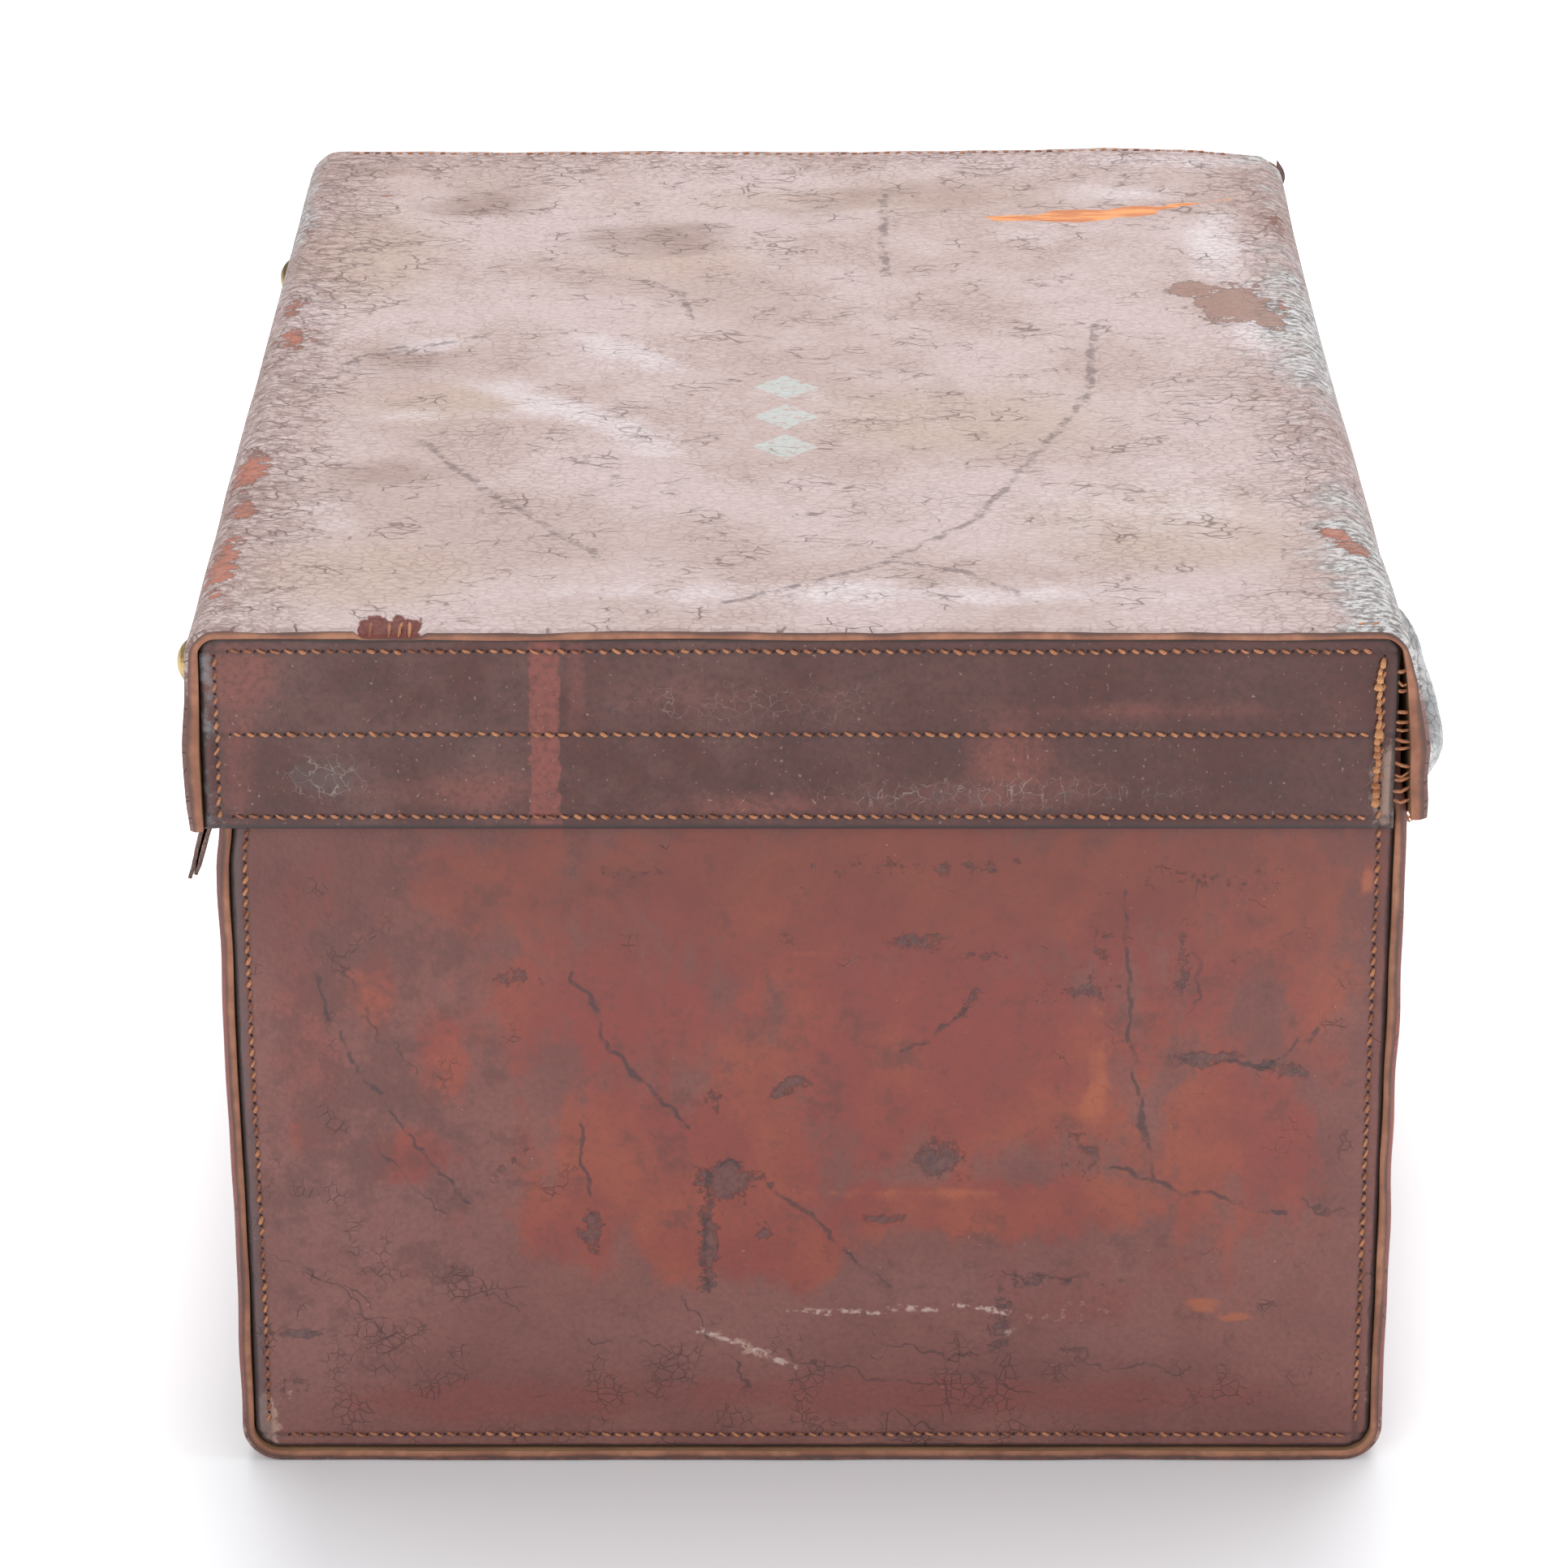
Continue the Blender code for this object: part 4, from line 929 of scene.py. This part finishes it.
# Spots of the end panels' masks, by X and Z
BODY_SPOTS = {
    "red": ((20, 190, 150, 50), (40, 140, 105, 46, 1.05), (140, 190, 32, 40, 0.9), (-60, 160, 60, 40, 0.9),
        (-40, 100, 62, 36, 1.1), (-72, 84, 34, 26, 0.9), (-16, 74, 44, 20), (60, 88, 90, 14, 0.9),
        (128, 110, 40, 44, 0.95), (-130, 160, 10, 16, 0.9), (-112, 140, 14, 30, 0.7),
        (-148, 110, 14, 12, 0.75), (-118, 106, 20, 14, 0.85), (-92, 190, 40, 26, 0.9), (166, 196, 8, 12, 0.8),
        (150, 150, 20, 60, 0.75), (-150, 186, 20, 20, 0.55)),
    "ruddy": ((-100, 20, 60, 8), (40, 22, 120, 8), (-150, 150, 14, 60, 0.8), (100, 60, 60, 20, 0.7),
        (-130, 75, 30, 20, 0.5)),
    "mottle": ((-130, 130, 44, 80, 0.6), (-60, 120, 40, 60, 0.3), (-10, 150, 60, 40, 0.25),
        (110, 150, 40, 50, 0.3), (70, 70, 60, 20, 0.4), (-80, 200, 80, 16, 0.4)),
    "violet": ((-130, 80, 44, 40), (-150, 40, 30, 30), (-40, 44, 60, 12, 0.8), (40, 60, 90, 10, 0.8),
        (90, 44, 40, 10, 0.7)),
    "crack": ((-140, 50, 50, 40), (-150, 150, 26, 90, 0.7), (0, 24, 190, 20), (60, 22, 60, 20, 1.2),
        (150, 100, 18, 90, 0.5)),
    "dark": ((-25, 96, 10, 8, 1.2), (-30, 76, 3.4, 22, 1.1), (-66, 80, 5, 8), (40, 104, 9, 9),
        (32, 176, 12, 3, 1.05), (50, 171, 20, 2.4, 0.7), (84, 106, 10, 12, 0.6), (84, 160, 12, 5, 0.75),
        (88, 176, 4, 20, 0.6), (120, 137, 13, 2.4, 1.2), (140, 134, 13, 2.4, 1.1, -15),
        (112, 167, 3, 16, 0.8), (-6, 128, 8, 4, 0.95, 20), (-28, 122, 3, 5, 0.9), (70, 62, 30, 2.4, 0.8),
        (-88, 163, 12, 4, 0.7), (48, 154, 3, 12, 0.7, -35), (60, 46, 5, 16, 0.8), (-14, 78, 6, 3, 0.8, 20),
        (-92, 100, 20, 3, 0.6, 40), (24, 84, 10, 2, 0.9), (-50, 198, 30, 3, 0.5), (30, 200, 60, 4, 0.6),
        (120, 196, 40, 5, 0.5), (-160, 26, 6, 4, 0.8), (-156, 44, 12, 2.2, 0.9), (-6, 176, 4, 3, 0.7)),
    "orange": ((121, 54, 10, 4, 1.1), (130, 50, 8, 3), (164, 195, 5, 8, 0.9), (88, 130, 8, 34, 0.8),
        (-20, 40, 14, 2.6, 0.8, -20), (34, 92, 60, 5, 0.75), (-52, 90, 8, 26, 0.6), (20, 172, 60, 4, 0.5)),
    "worn": ((-168, 12, 5, 12, 1.1), (-160, 24, 5, 6, 0.5), (-16, 38, 20, 2.6, 0.8, -24),
        (14, 52, 40, 1.2, 0.55), (84, 52, 26, 5, 0.5, 10), (62, 46, 8, 6, 0.5, 30), (171, 28, 2, 14, 0.9),
        (98, 70, 14, 2, 0.4)),
}
LID_END_SPOTS = {
    "red": ((-168, 262, 12, 12), (-100, 226, 30, 8, 0.7), (60, 226, 50, 8, 0.6), (60, 236, 14, 16, 0.9),
        (158, 255, 10, 10, 0.5), (96, 252, 60, 4, 0.6), (-30, 256, 60, 10, 0.4), (-168, 236, 8, 26, 0.8),
        (-12, 222, 40, 6, 0.7)),
    "worn": ((-142, 231, 14, 8), (172, 228, 6, 14, 1.6), (52, 226, 70, 7, 0.72), (-20, 254, 60, 10, 0.5),
        (100, 226, 30, 4, 0.6)),
}


def body_masks(x, z):
    """Red and polished above, brown and cracked below and to the left."""
    made = {key: blobs(x, z, spots) for key, spots in BODY_SPOTS.items()}
    made["red"] = np.clip(made["red"] - 0.12, 0, 1)
    made["mottle"] = 0.15 + made["mottle"]
    return made


def far_body_masks(x, z):
    """The far end: much the same leather, worn in its own places."""
    made = body_masks(-x * 0.93 + 4 * MM, z * 0.97 + 3 * MM)
    made["orange"] = blobs(x, z, ((-90, 60, 10, 4), (60, 180, 12, 4, 0.8, 20)))
    made["worn"] = blobs(x, z, ((166, 14, 6, 12), (-164, 18, 6, 8), (40, 30, 30, 2, 0.6, 10)))
    return made


def lid_masks(x, z):
    """Redder where straps lay, rubbed at the right and at the lower left."""
    made = {key: blobs(x, z, spots) for key, spots in LID_END_SPOTS.items()}
    made["strip"] = 1 + 0 * x
    made["rubbed"] = ease(x, 100, 140)
    return made


def far_lid_masks(x, z):
    """The far end, which has no redder strip."""
    made = lid_masks(-x, z)
    made["strip"] = 0 * x
    return made


# Strokes on the near end panel, by X and Z in mm: cracks, dark scratches and pale ones
NEAR_CRACKS = (
    ((-168, 44), (-158, 47), (-147, 45), (-141, 42)),
    ((-165, 72), (-151, 66), (-141, 56), (-128, 42), (-120, 24)),
    ((-143, 60), (-134, 54), (-126, 38), (-118, 30)),
    ((-100, 62), (-94, 54), (-88, 50)),
    ((-66, 42), (-52, 41), (-44, 39)),
    ((-36, 66), (-40, 58), (-34, 50), (-30, 41), (-20, 30), (-14, 20)),
    ((-6, 38), (12, 32), (36, 28), (58, 29), (70, 22)),
    ((22, 40), (40, 38), (54, 36)),
    ((78, 40), (88, 33), (102, 34), (118, 30)),
    ((60, 66), (66, 63), (84, 64)),
    ((116, 24), (122, 16), (130, 13)),
    ((-140, 168), (-132, 150), (-118, 132)),
    ((150, 90), (160, 86), (170, 88)),
    ((118, 196), (114, 180), (118, 160), (112, 142)),
    ((-130, 106), (-122, 96), (-110, 84)),
)
NEAR_DARK = (
    ((-71, 166), (-60, 141), (-36, 114)),
    ((-152, 173), (-134, 130), (-103, 89)),
    ((-31, 58), (-30, 98), (-23, 104), (1, 84), (24, 60)),
    ((96, 192), (98, 138), (105, 97)),
    ((48, 155), (38, 144), (28, 140)),
    ((119, 137), (140, 134), (154, 147)),
    ((92, 100), (120, 92), (146, 84)),
    ((-70, 116), (-64, 84)),
)
NEAR_PALE = (((-11, 52), (40, 52)), ((46, 53), (62, 52)), ((-34, 45), (-16, 39), (-3, 33)))


# Stitches

SIDES = 6
STITCH_PITCH, STITCH_LENGTH, STITCH_THICK = 4.0 * MM, 3.3 * MM, 0.52 * MM


def tube_faces(rings):
    """Faces of a closed tube of rings of six points."""
    faces = [(i + k, i + (k + 1) % SIDES, i + SIDES + (k + 1) % SIDES, i + SIDES + k)
             for i in range(0, (rings - 1) * SIDES, SIDES) for k in range(SIDES)]
    for start in (0, (rings - 1) * SIDES):
        faces += [(start, start + 1, start + 2, start + 3), (start, start + 3, start + 4, start + 5)]
    return np.array(faces)


def stitch_shape(rings=5):
    """One stitch as rings of points: along in -1..1, then two directions across of unit size."""
    rows = []
    for s in np.linspace(-1, 1, rings):
        girth = max(0.25, (1 - abs(s) ** 3) ** 0.5)
        rows += [(s, girth * math.cos(2 * math.pi * k / SIDES), girth * math.sin(2 * math.pi * k / SIDES))
                 for k in range(SIDES)]
    return np.array(rows), tube_faces(rings)


class Stitches:
    """Gathers hand stitches and loose threads into one piece."""

    def __init__(self, seed):
        self.draw = np.random.default_rng(seed)
        self.shape, self.shape_faces = stitch_shape()
        self.points, self.faces, self.kinds, self.total = [], [], [], 0

    def put(self, points, faces, kind):
        """Adds faces to the piece. kind is 0 for thread and 1 for a hole's painted shade."""
        self.points.append(points)
        self.faces.append(faces + self.total)
        self.kinds.append(np.full(len(faces), kind))
        self.total += len(points)

    def stitch(self, middle, along, across, out, length, thick):
        """One stitch, highest in its middle, with its ends sunk in the leather."""
        s, c, d = self.shape.T
        lift = thick * (0.75 - 1.5 * s ** 4)
        points = (middle[None] + np.outer(s * length / 2, along) + np.outer(c * thick, across)
                  + np.outer(d * thick * 0.7 + lift, out))
        self.put(points, self.shape_faces, 0)

    def strand(self, places, thick):
        """A loose thread through places, tapered at its ends."""
        places = np.array(places, float)
        way = unit(np.gradient(places, axis=0))
        first = unit(np.cross(way, (0.31, 0.52, 0.79)))
        second = np.cross(way, first)
        turn = np.linspace(0, 2 * math.pi, SIDES, endpoint=False)
        ends = np.ones(len(places))
        ends[[0, -1]] = 0.35
        rings = (places[:, None] + thick * ends[:, None, None] * (
            first[:, None] * np.cos(turn)[None, :, None] + second[:, None] * np.sin(turn)[None, :, None]))
        self.put(rings.reshape(-1, 3), tube_faces(len(places)), 0)

    def hole(self, middle, along, across, out, size):
        """A dark, slightly long plug in the hole between two stitches: its colour is painted shade standing
        for the hole's depth.
        """
        turns = np.linspace(0, 2 * math.pi, 8, endpoint=False)
        flat = np.array([middle + along * size * 1.5 * math.cos(turn) + across * size * math.sin(turn)
                         + out * 0.06 * MM for turn in turns])
        deep = flat - out * 0.8 * MM
        faces = [(k, (k + 1) % 8, 8 + (k + 1) % 8, 8 + k) for k in range(8)]
        faces += [(0, 1, 2, 3), (0, 3, 4, 7), (4, 5, 6, 7)]
        faces += [(11, 10, 9, 8), (15, 12, 11, 8), (15, 14, 13, 12)]
        self.put(np.concatenate([flat, deep]), np.array(faces), 1)

    def row(self, start, end, out, surface, pitch=STITCH_PITCH, slant=-24, thick=STITCH_THICK):
        """A row from start to end; surface gives how far along out the leather lies at a point."""
        start, end, out = (np.array(p, float) for p in (start, end, out))
        run = np.linalg.norm(end - start)
        way = (end - start) / run
        cross = np.cross(out, way)
        count = int(run // pitch)
        for i in range(count):
            middle = start + way * (i + 0.5) * run / count
            turn = math.radians(slant + self.draw.normal(0, 5))
            along = way * math.cos(turn) + cross * math.sin(turn)
            across = -way * math.sin(turn) + cross * math.cos(turn)
            size = thick * self.draw.uniform(0.8, 1.2)
            middle = middle + cross * self.draw.normal(0, 0.14 * MM)
            lying = middle + out * (surface(middle) + self.draw.uniform(-0.18, 0.12) * MM)
            self.draw.uniform()  # a draw that nothing takes
            self.stitch(lying, along, across, out, STITCH_LENGTH * self.draw.uniform(0.85, 1.1), size)
            gap = start + way * i * run / count
            self.hole(gap + out * surface(gap), across, along, out, self.draw.uniform(0.34, 0.5) * MM)

    def made(self, name, materials):
        """The finished piece, in the materials of a thread and of a hole's painted shade."""
        return face_out(mesh_object(name, np.concatenate(self.points), np.concatenate(self.faces), materials,
                                    np.concatenate(self.kinds), sharp=70))


def sewn_end(body, where, materials, radii, levels, bulge, masks, seeds, stitches, runs, pitch, shape=None):
    """An end panel of a body, with stitches along its level seams and up its sides.

    runs say how far from the left and the right seam the level rows stop, and the top and foot of the others.
    """
    node = f"{body}_end_{where}"
    low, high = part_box(node)
    side = -1 if low.y < 0 else 1
    seed = seeds[0] + side
    panel = end_panel(f"{body}_panel_{where}", node, materials, radii, levels, bulge, masks, seed, shape)
    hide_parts(node)
    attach(panel, body)

    def height(point):
        x, z = point[0], point[2]
        border = min(x - low.x, high.x - x, z - low.z, high.z - z)
        return float(panel_swell(x, z, border, bulge, seed)) - 0.35 * MM

    sewn = Stitches(seeds[1] + side)
    face, out = (low.y if side < 0 else high.y), (0, side, 0)
    left, right = low.x + SEAM_INSET, high.x - SEAM_INSET
    for z in levels:
        sewn.row((left + runs[0], face, z), (right - runs[1], face, z), out, height)
    for x in (left, right):
        sewn.row((x, face, runs[2]), (x, face, runs[3]), out, height, pitch)
    if shape:
        for points in sewn.points:
            points[:, 0] = shape(points[:, 0], points[:, 1], points[:, 2])
    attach(sewn.made(f"{body}_stitches_{where}", stitches), body)


def far_edge_stitches(tan, hole):
    """The row that shows along the far edge of the lid's top, and a few stitches at the near right corner."""
    sewn = Stitches(seed=71)
    y = LID_HIGH.y - 4.4 * MM

    def height(point):
        return float(top_lift(point[0], point[1])) - 0.15 * MM

    near, up = LID_LOW.y + 3.0 * MM, (0, 0, 1)
    sewn.row((-168 * MM, y, LID_HIGH.z), (158 * MM, y, LID_HIGH.z), up, height, thick=0.5 * MM, slant=20)
    sewn.row((160 * MM, near, LID_HIGH.z), (168 * MM, near, LID_HIGH.z), up, height, slant=20)
    return sewn.made("lid_top_stitches", (tan, hole))


def notch_threads(tan, hole):
    """Four threads left standing in the torn place at the near edge."""
    sewn = Stitches(seed=73)
    for x in (-128.2, -122.6, -116.6, -119.8):
        foot = Vector((x * MM, LID_LOW.y + 0.2 * MM, 275.4 * MM))
        tip = foot + Vector((sewn.draw.uniform(-0.6, 0.9) * MM, 6.5 * MM, 2.2 * MM))
        middle = (foot + tip) / 2 + Vector((0.3, -1.6, 1.5)) * MM
        sewn.strand([foot, (foot + middle) / 2, middle, (middle + tip) / 2, tip], 0.55 * MM)
    return sewn.made("notch_threads", (tan, hole))


# Heights of the threads in mm
SPLIT_THREADS = np.array([264.5, 260.8, 257.1, 251.5, 248.9, 245.2, 243.0, 239.4, 235.3, 231.8, 230.0, 226.6,
                          223.2])


def split_seam_threads(tan, hole):
    """Threads across the gap where the front skirt has come off the near end panel, and the frayed knot."""
    sewn = Stitches(seed=75)
    draw = sewn.draw
    y = LID_LOW.y + 2.4 * MM
    for z in SPLIT_THREADS * MM:
        inner = np.interp(z, np.array([222, 240, 262]) * MM, np.array([177.4, 177.1, 175.4]) * MM)
        start = Vector((172.6 * MM, y + draw.uniform(-0.6, 0.6) * MM, z + draw.uniform(-0.8, 0.8) * MM))
        end = Vector((inner + 0.8 * MM, y + draw.uniform(-0.6, 1.2) * MM, z + draw.uniform(-1.6, 1.2) * MM))
        sag = Vector((0, -draw.uniform(0.4, 1.3), draw.uniform(-1.0, 0.2))) * MM
        middle = (start + end) / 2 + sag
        sewn.strand([start, start * 0.6 + middle * 0.4, middle, middle * 0.4 + end * 0.6, end],
                    draw.uniform(0.42, 0.62) * MM)
    knot = Vector((178.6, LID_LOW.y / MM + 1.4, 218.8)) * MM
    for _ in range(12):
        way = Vector((draw.normal(), draw.normal() * 0.5, draw.normal() - 0.5)).normalized()
        curl = Vector((draw.normal(), draw.normal(), draw.normal())) * 0.5 * MM
        start = knot + Vector((draw.normal(), draw.normal() * 0.6, draw.normal())) * 0.6 * MM
        reach = draw.uniform(1.2, 2.6) * MM
        places = [start, start + way * reach * 0.5 + curl, start + way * reach]
        sewn.strand(places, draw.uniform(0.25, 0.5) * MM)
    return sewn.made("split_seam_threads", (tan, hole))


def loose_cord(tan, hole):
    """The thick, loosened stitching down the right of the near end panel."""
    sewn = Stitches(seed=77)
    draw = sewn.draw
    x, y, z = 167.8 * MM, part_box("lid_end_near")[0].y - 0.1 * MM, 268.5 * MM
    while z > 222 * MM:
        length = draw.uniform(2.4, 3.8) * MM
        lean = draw.uniform(-0.35, 0.15)
        middle = np.array([x + draw.normal(0, 0.25) * MM, y, z - length / 2])
        along = np.array([lean, 0, -1.0]) / math.hypot(lean, 1)
        across = np.array([along[2], 0, -along[0]])
        sewn.stitch(middle, along, across, np.array([0, -1.0, 0]), length, draw.uniform(0.6, 1.3) * MM)
        z -= length * 0.82
    return sewn.made("loose_cord", (tan, hole))


# Hinge, handle and the torn corner

def bent_line(points, count):
    """A smooth line through a few 2D points, cut into equal steps."""
    points = np.array(points, float)
    reach = np.concatenate([[0], np.cumsum(np.linalg.norm(np.diff(points, axis=0), axis=1))])
    even = np.linspace(0, reach[-1], count)
    line = np.stack([np.interp(even, reach, points[:, k]) for k in (0, 1)], -1)
    for _ in range(6):
        line[1:-1] = (line[:-2] + 2 * line[1:-1] + line[2:]) / 4
    return line


def hinge_sheet(name, points, strap):
    """One ply of the leather hinge: a bent strip along the box that thins towards its lowest line."""
    low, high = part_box("hinge_body_leaf")
    line = bent_line(np.array(points) * MM, 44)
    side = normals_of(line)
    y = stations(low.y, high.y, 4.5 * MM)
    along = np.linspace(0, 1, len(line))[:, None]
    hang = ease(214 * MM - line[:, 1:], 0, 20)
    sway = hang * (0.5 * ripple(y[None, :], along, 81, 0.11) - 0.1) * MM
    droop = hang * np.minimum(1.2 * ripple(y[None, :], 0 * along, 82, 0.09), 1.0) * MM
    half = (0.65 - 0.05 * hang) * MM
    x, y, z = swept(line, y)
    x, z = x + sway, z - droop
    masks = {"worn": 0.35 * hang + 0 * x, "crease": 0 * x}
    return slab(name, pushed(x, y, z, side, half), pushed(x, y, z, side, -half), (strap, strap, strap), masks,
                bulge=0.0002)


FOLD_BODY = ((-176.0, 240), (-176.0, 219), (-177.3, 212.8), (-179.9, 205), (-182.8, 194.6))
FOLD_LID = ((-177.9, 238), (-177.9, 219.5), (-178.7, 214.6), (-180.2, 211.4), (-181.9, 205), (-184.6, 193.4))


def hinge(strap):
    """The folded hinge leather: its inner ply stays on the wall, its outer ply bends up into the skirt."""
    fold = hinge_sheet("hinge_fold", FOLD_BODY, strap)
    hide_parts("hinge_body_leaf")
    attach(fold, "body")
    flap = hinge_sheet("hinge_flap", FOLD_LID, strap)
    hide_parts("hinge_lid_leaf")
    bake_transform(flap)


HANDLE_PIN = Vector((181.5, 0, 170.0)) * MM
HANDLE_HALF, HANDLE_REACH = 80 * MM, 28 * MM
DROOP = math.radians(35)
GRIP_HALF, GRIP_POWER, GRIP_THICK, GRIP_SIDES = 77 * MM, 3.2, 5.5 * MM, 40


def handle_place(along, out, off):
    """A point of the handle from its place along the box, out from its pins and off its plane."""
    return np.stack([HANDLE_PIN.x + out * math.cos(DROOP) + off * math.sin(DROOP), along + 0 * out,
                     HANDLE_PIN.z - out * math.sin(DROOP) + off * math.cos(DROOP)], -1)


def grip_shape():
    """The grip's middle line, its width and thickness along it, and the way round it."""
    turn = np.linspace(-1, 1, 150)
    along = GRIP_HALF * (np.sin(turn * math.pi / 2) * 0.55 + turn * 0.45)
    reach = HANDLE_REACH + 1.6 * MM * ease(along, 20, 60)
    line = np.stack([along, reach * (1 - np.abs(along / HANDLE_HALF) ** GRIP_POWER) ** (1 / GRIP_POWER)], -1)
    share = np.abs(along) / GRIP_HALF
    end = np.sqrt(np.clip(1 - smoothstep(share, 0.955, 1.0) ** 2, 0.02, 1))
    width = 13.0 * MM * (1 - 0.30 * smoothstep(share, 0.80, 1.0)) * end
    thick = GRIP_THICK * (1 - 0.45 * smoothstep(share, 0.62, 1.0)) * end
    angle = np.linspace(0, 2 * math.pi, GRIP_SIDES, endpoint=False)[None, :]
    return line, share[:, None], width[:, None], thick[:, None], angle


def handle_grip(strap, tan, hole):
    """The leather sleeve sewn round the handle's steel core, full in the middle and flattened at its ends."""
    line, share, width, thick, angle = grip_shape()
    way = unit(np.gradient(line, axis=0))
    away = np.stack([-way[:, 1], way[:, 0]], -1)
    sine, cosine = np.sin(angle), np.cos(angle)
    bump = 0.35 * MM * ripple(line[:, :1] + 0 * angle, angle * 0.01, 91, 0.03)
    bump = bump * smoothstep(1 - share, 0.02, 0.2)
    t = thick * cosine * (1 + 0.16 * np.exp(-((angle - math.pi) / 0.16) ** 2))
    w = width * np.sign(sine) * np.abs(sine) ** 0.85
    creased = np.exp(-((sine - 0.55) / 0.05) ** 2) + np.exp(-((sine - 0.25) / 0.04) ** 2)
    creased = 0.35 * MM * creased * (cosine > 0)
    scale = (bump - creased) / GRIP_THICK + 1
    flat_along, out = line[:, :1] + away[:, :1] * t * scale, line[:, 1:] + away[:, 1:] * t * scale
    points = handle_place(flat_along, out, w * (1 + bump / (13 * MM)))
    index = np.arange(points.shape[0] * GRIP_SIDES).reshape(-1, GRIP_SIDES)
    after = np.roll(index, -1, axis=1)
    faces = np.stack([index[:-1], index[1:], after[1:], after[:-1]], -1).reshape(-1, 4)
    caps = [(ring[k - 1], ring[k], ring[GRIP_SIDES - 1 - k], ring[(GRIP_SIDES - k) % GRIP_SIDES])
            for ring in (index[0], index[-1]) for k in range(1, GRIP_SIDES // 2)]
    worn = smoothstep(np.maximum(cosine, sine), -0.1, 0.35) * smoothstep(1 - share, 0.03, 0.12)
    # crease: painted shade in the creases pressed into the grip
    masks = {"worn": worn, "crease": creased / (0.35 * MM) * 0.8 + 0 * share}
    grip = face_out(mesh_object("grip_sleeve", points.reshape(-1, 3), np.concatenate([faces, np.array(caps)]),
                                (strap,), None, masks))
    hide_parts("handle_grip")
    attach(grip, "handle")
    sewn = Stitches(seed=93)
    lean = math.radians(24)
    pin = np.array(HANDLE_PIN)
    for i in range(6, len(line) - 7, 2):
        middle = handle_place(*(line[i] + away[i] * t[i, GRIP_SIDES // 2] * 1.02), np.array(0.0))
        forward, out_way = (unit(handle_place(*way_2d, np.array(0.0)) - pin) for way_2d in (way[i], -away[i]))
        across = np.cross(out_way, forward)
        sewn.stitch(middle, forward * math.cos(lean) + across * math.sin(lean),
                    across * math.cos(lean) - forward * math.sin(lean), out_way, 1.9 * MM, 0.4 * MM)
    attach(sewn.made("grip_stitches", (tan, hole)), "handle")


def corner_flake(strap, edge):
    """A torn flake of leather that stands out at the lid's far front corner."""
    length, width = 13 * MM, 3.2 * MM
    s = np.linspace(0, 1, 12)
    t = np.linspace(-1, 1, 7)
    shape = width * np.sin(np.clip(s, 0.06, 0.97) * math.pi) ** 0.8
    x = 176.2 * MM + shape[:, None] * (t[None, :] * 0.5 + 0.55)
    y = LID_HIGH.y - 3.4 * MM - 0.8 * MM * s[:, None] + 0.5 * MM * t[None, :]
    z = 262.5 * MM + length * s[:, None] + 0 * t
    outer = np.stack([x + 0 * z, y + 0 * z, z + 0 * x], -1)
    inner = outer + np.array([0, 1.1 * MM, 0])
    masks = {"worn": 0.1 + 0 * z, "crease": 0 * z}
    flake = slab("corner_flake", outer, inner, (strap, strap, edge), masks, bulge=0.0001)
    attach(flake, "lid")


def main():
    camera()
    studio()
    pale, edge, flesh = pale_leather(), raw_edge(), flesh_side()
    dark, strap = dark_leather(), strap_leather()
    red_near = red_leather("leather_red_near", NEAR_DARK, NEAR_PALE, NEAR_CRACKS)
    red_plain = red_leather("leather_red")
    tan = thread("thread", (196, 134, 96), (140, 88, 66))
    loose = thread("thread_loose", (214, 156, 108), (168, 110, 76))
    hole, cloth = hole_shade(), linen()

    for piece, node, body, slot in (
            (lid_wrap(pale, flesh, edge), "lid_wrap", "lid", "leather_pale"),
            (lid_lining(cloth), "lid_lining_top", "lid", "linen"),
            (body_wrap(red_plain, flesh, edge), "body_wrap", "body", "leather_red")):
        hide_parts(node)
        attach(piece, body)

    for where, red, masks, upper_masks, shape in (
            ("near", red_near, body_masks, lid_masks, swollen),
            ("far", red_plain, far_body_masks, far_lid_masks, None)):
        low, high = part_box(f"body_end_{where}")
        foot = low.z + SEAM_INSET
        sewn_end("body", where, (red, flesh, edge), (8.1 * MM, 0), (foot,), 0.5 * MM, masks, (31, 41),
                 (tan, hole), (6 * MM, 2 * MM, high.z - 30 * MM, foot + 4 * MM), 3.75 * MM, shape)
        low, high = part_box(f"lid_end_{where}")
        levels = (low.z + 4.2 * MM, LID_MIDDLE_SEAM, high.z - 4.6 * MM)
        sewn_end("lid", where, (dark, flesh, edge), (0, 5.4 * MM), levels, 0.25 * MM, upper_masks, (51, 61),
                 (tan, hole), (4 * MM, 3 * MM, high.z - 6 * MM, low.z + 3 * MM), STITCH_PITCH)
        if where == "near":
            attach(loose_cord(loose, hole), "lid")
    for piece in (far_edge_stitches(tan, hole), notch_threads(tan, hole), split_seam_threads(tan, hole)):
        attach(piece, "lid")
    hinge(strap)
    handle_grip(strap, tan, hole)
    corner_flake(strap, edge)

    finishes = {"brass": old_brass(), "steel": old_steel(), "linen": cloth, "wood": pine(),
                "leather_strap": strap}
    slots = {part["node"]: part["material_slot"] for part in frame["record"]["subparts"]}
    for name, node in frame["nodes"].items():
        finish = finishes.get(slots.get(name))
        if finish is None:
            continue
        if not node.material_slots:
            node.data.materials.append(finish)
        for holder in node.material_slots:
            holder.link = "OBJECT"
            holder.material = finish


main()
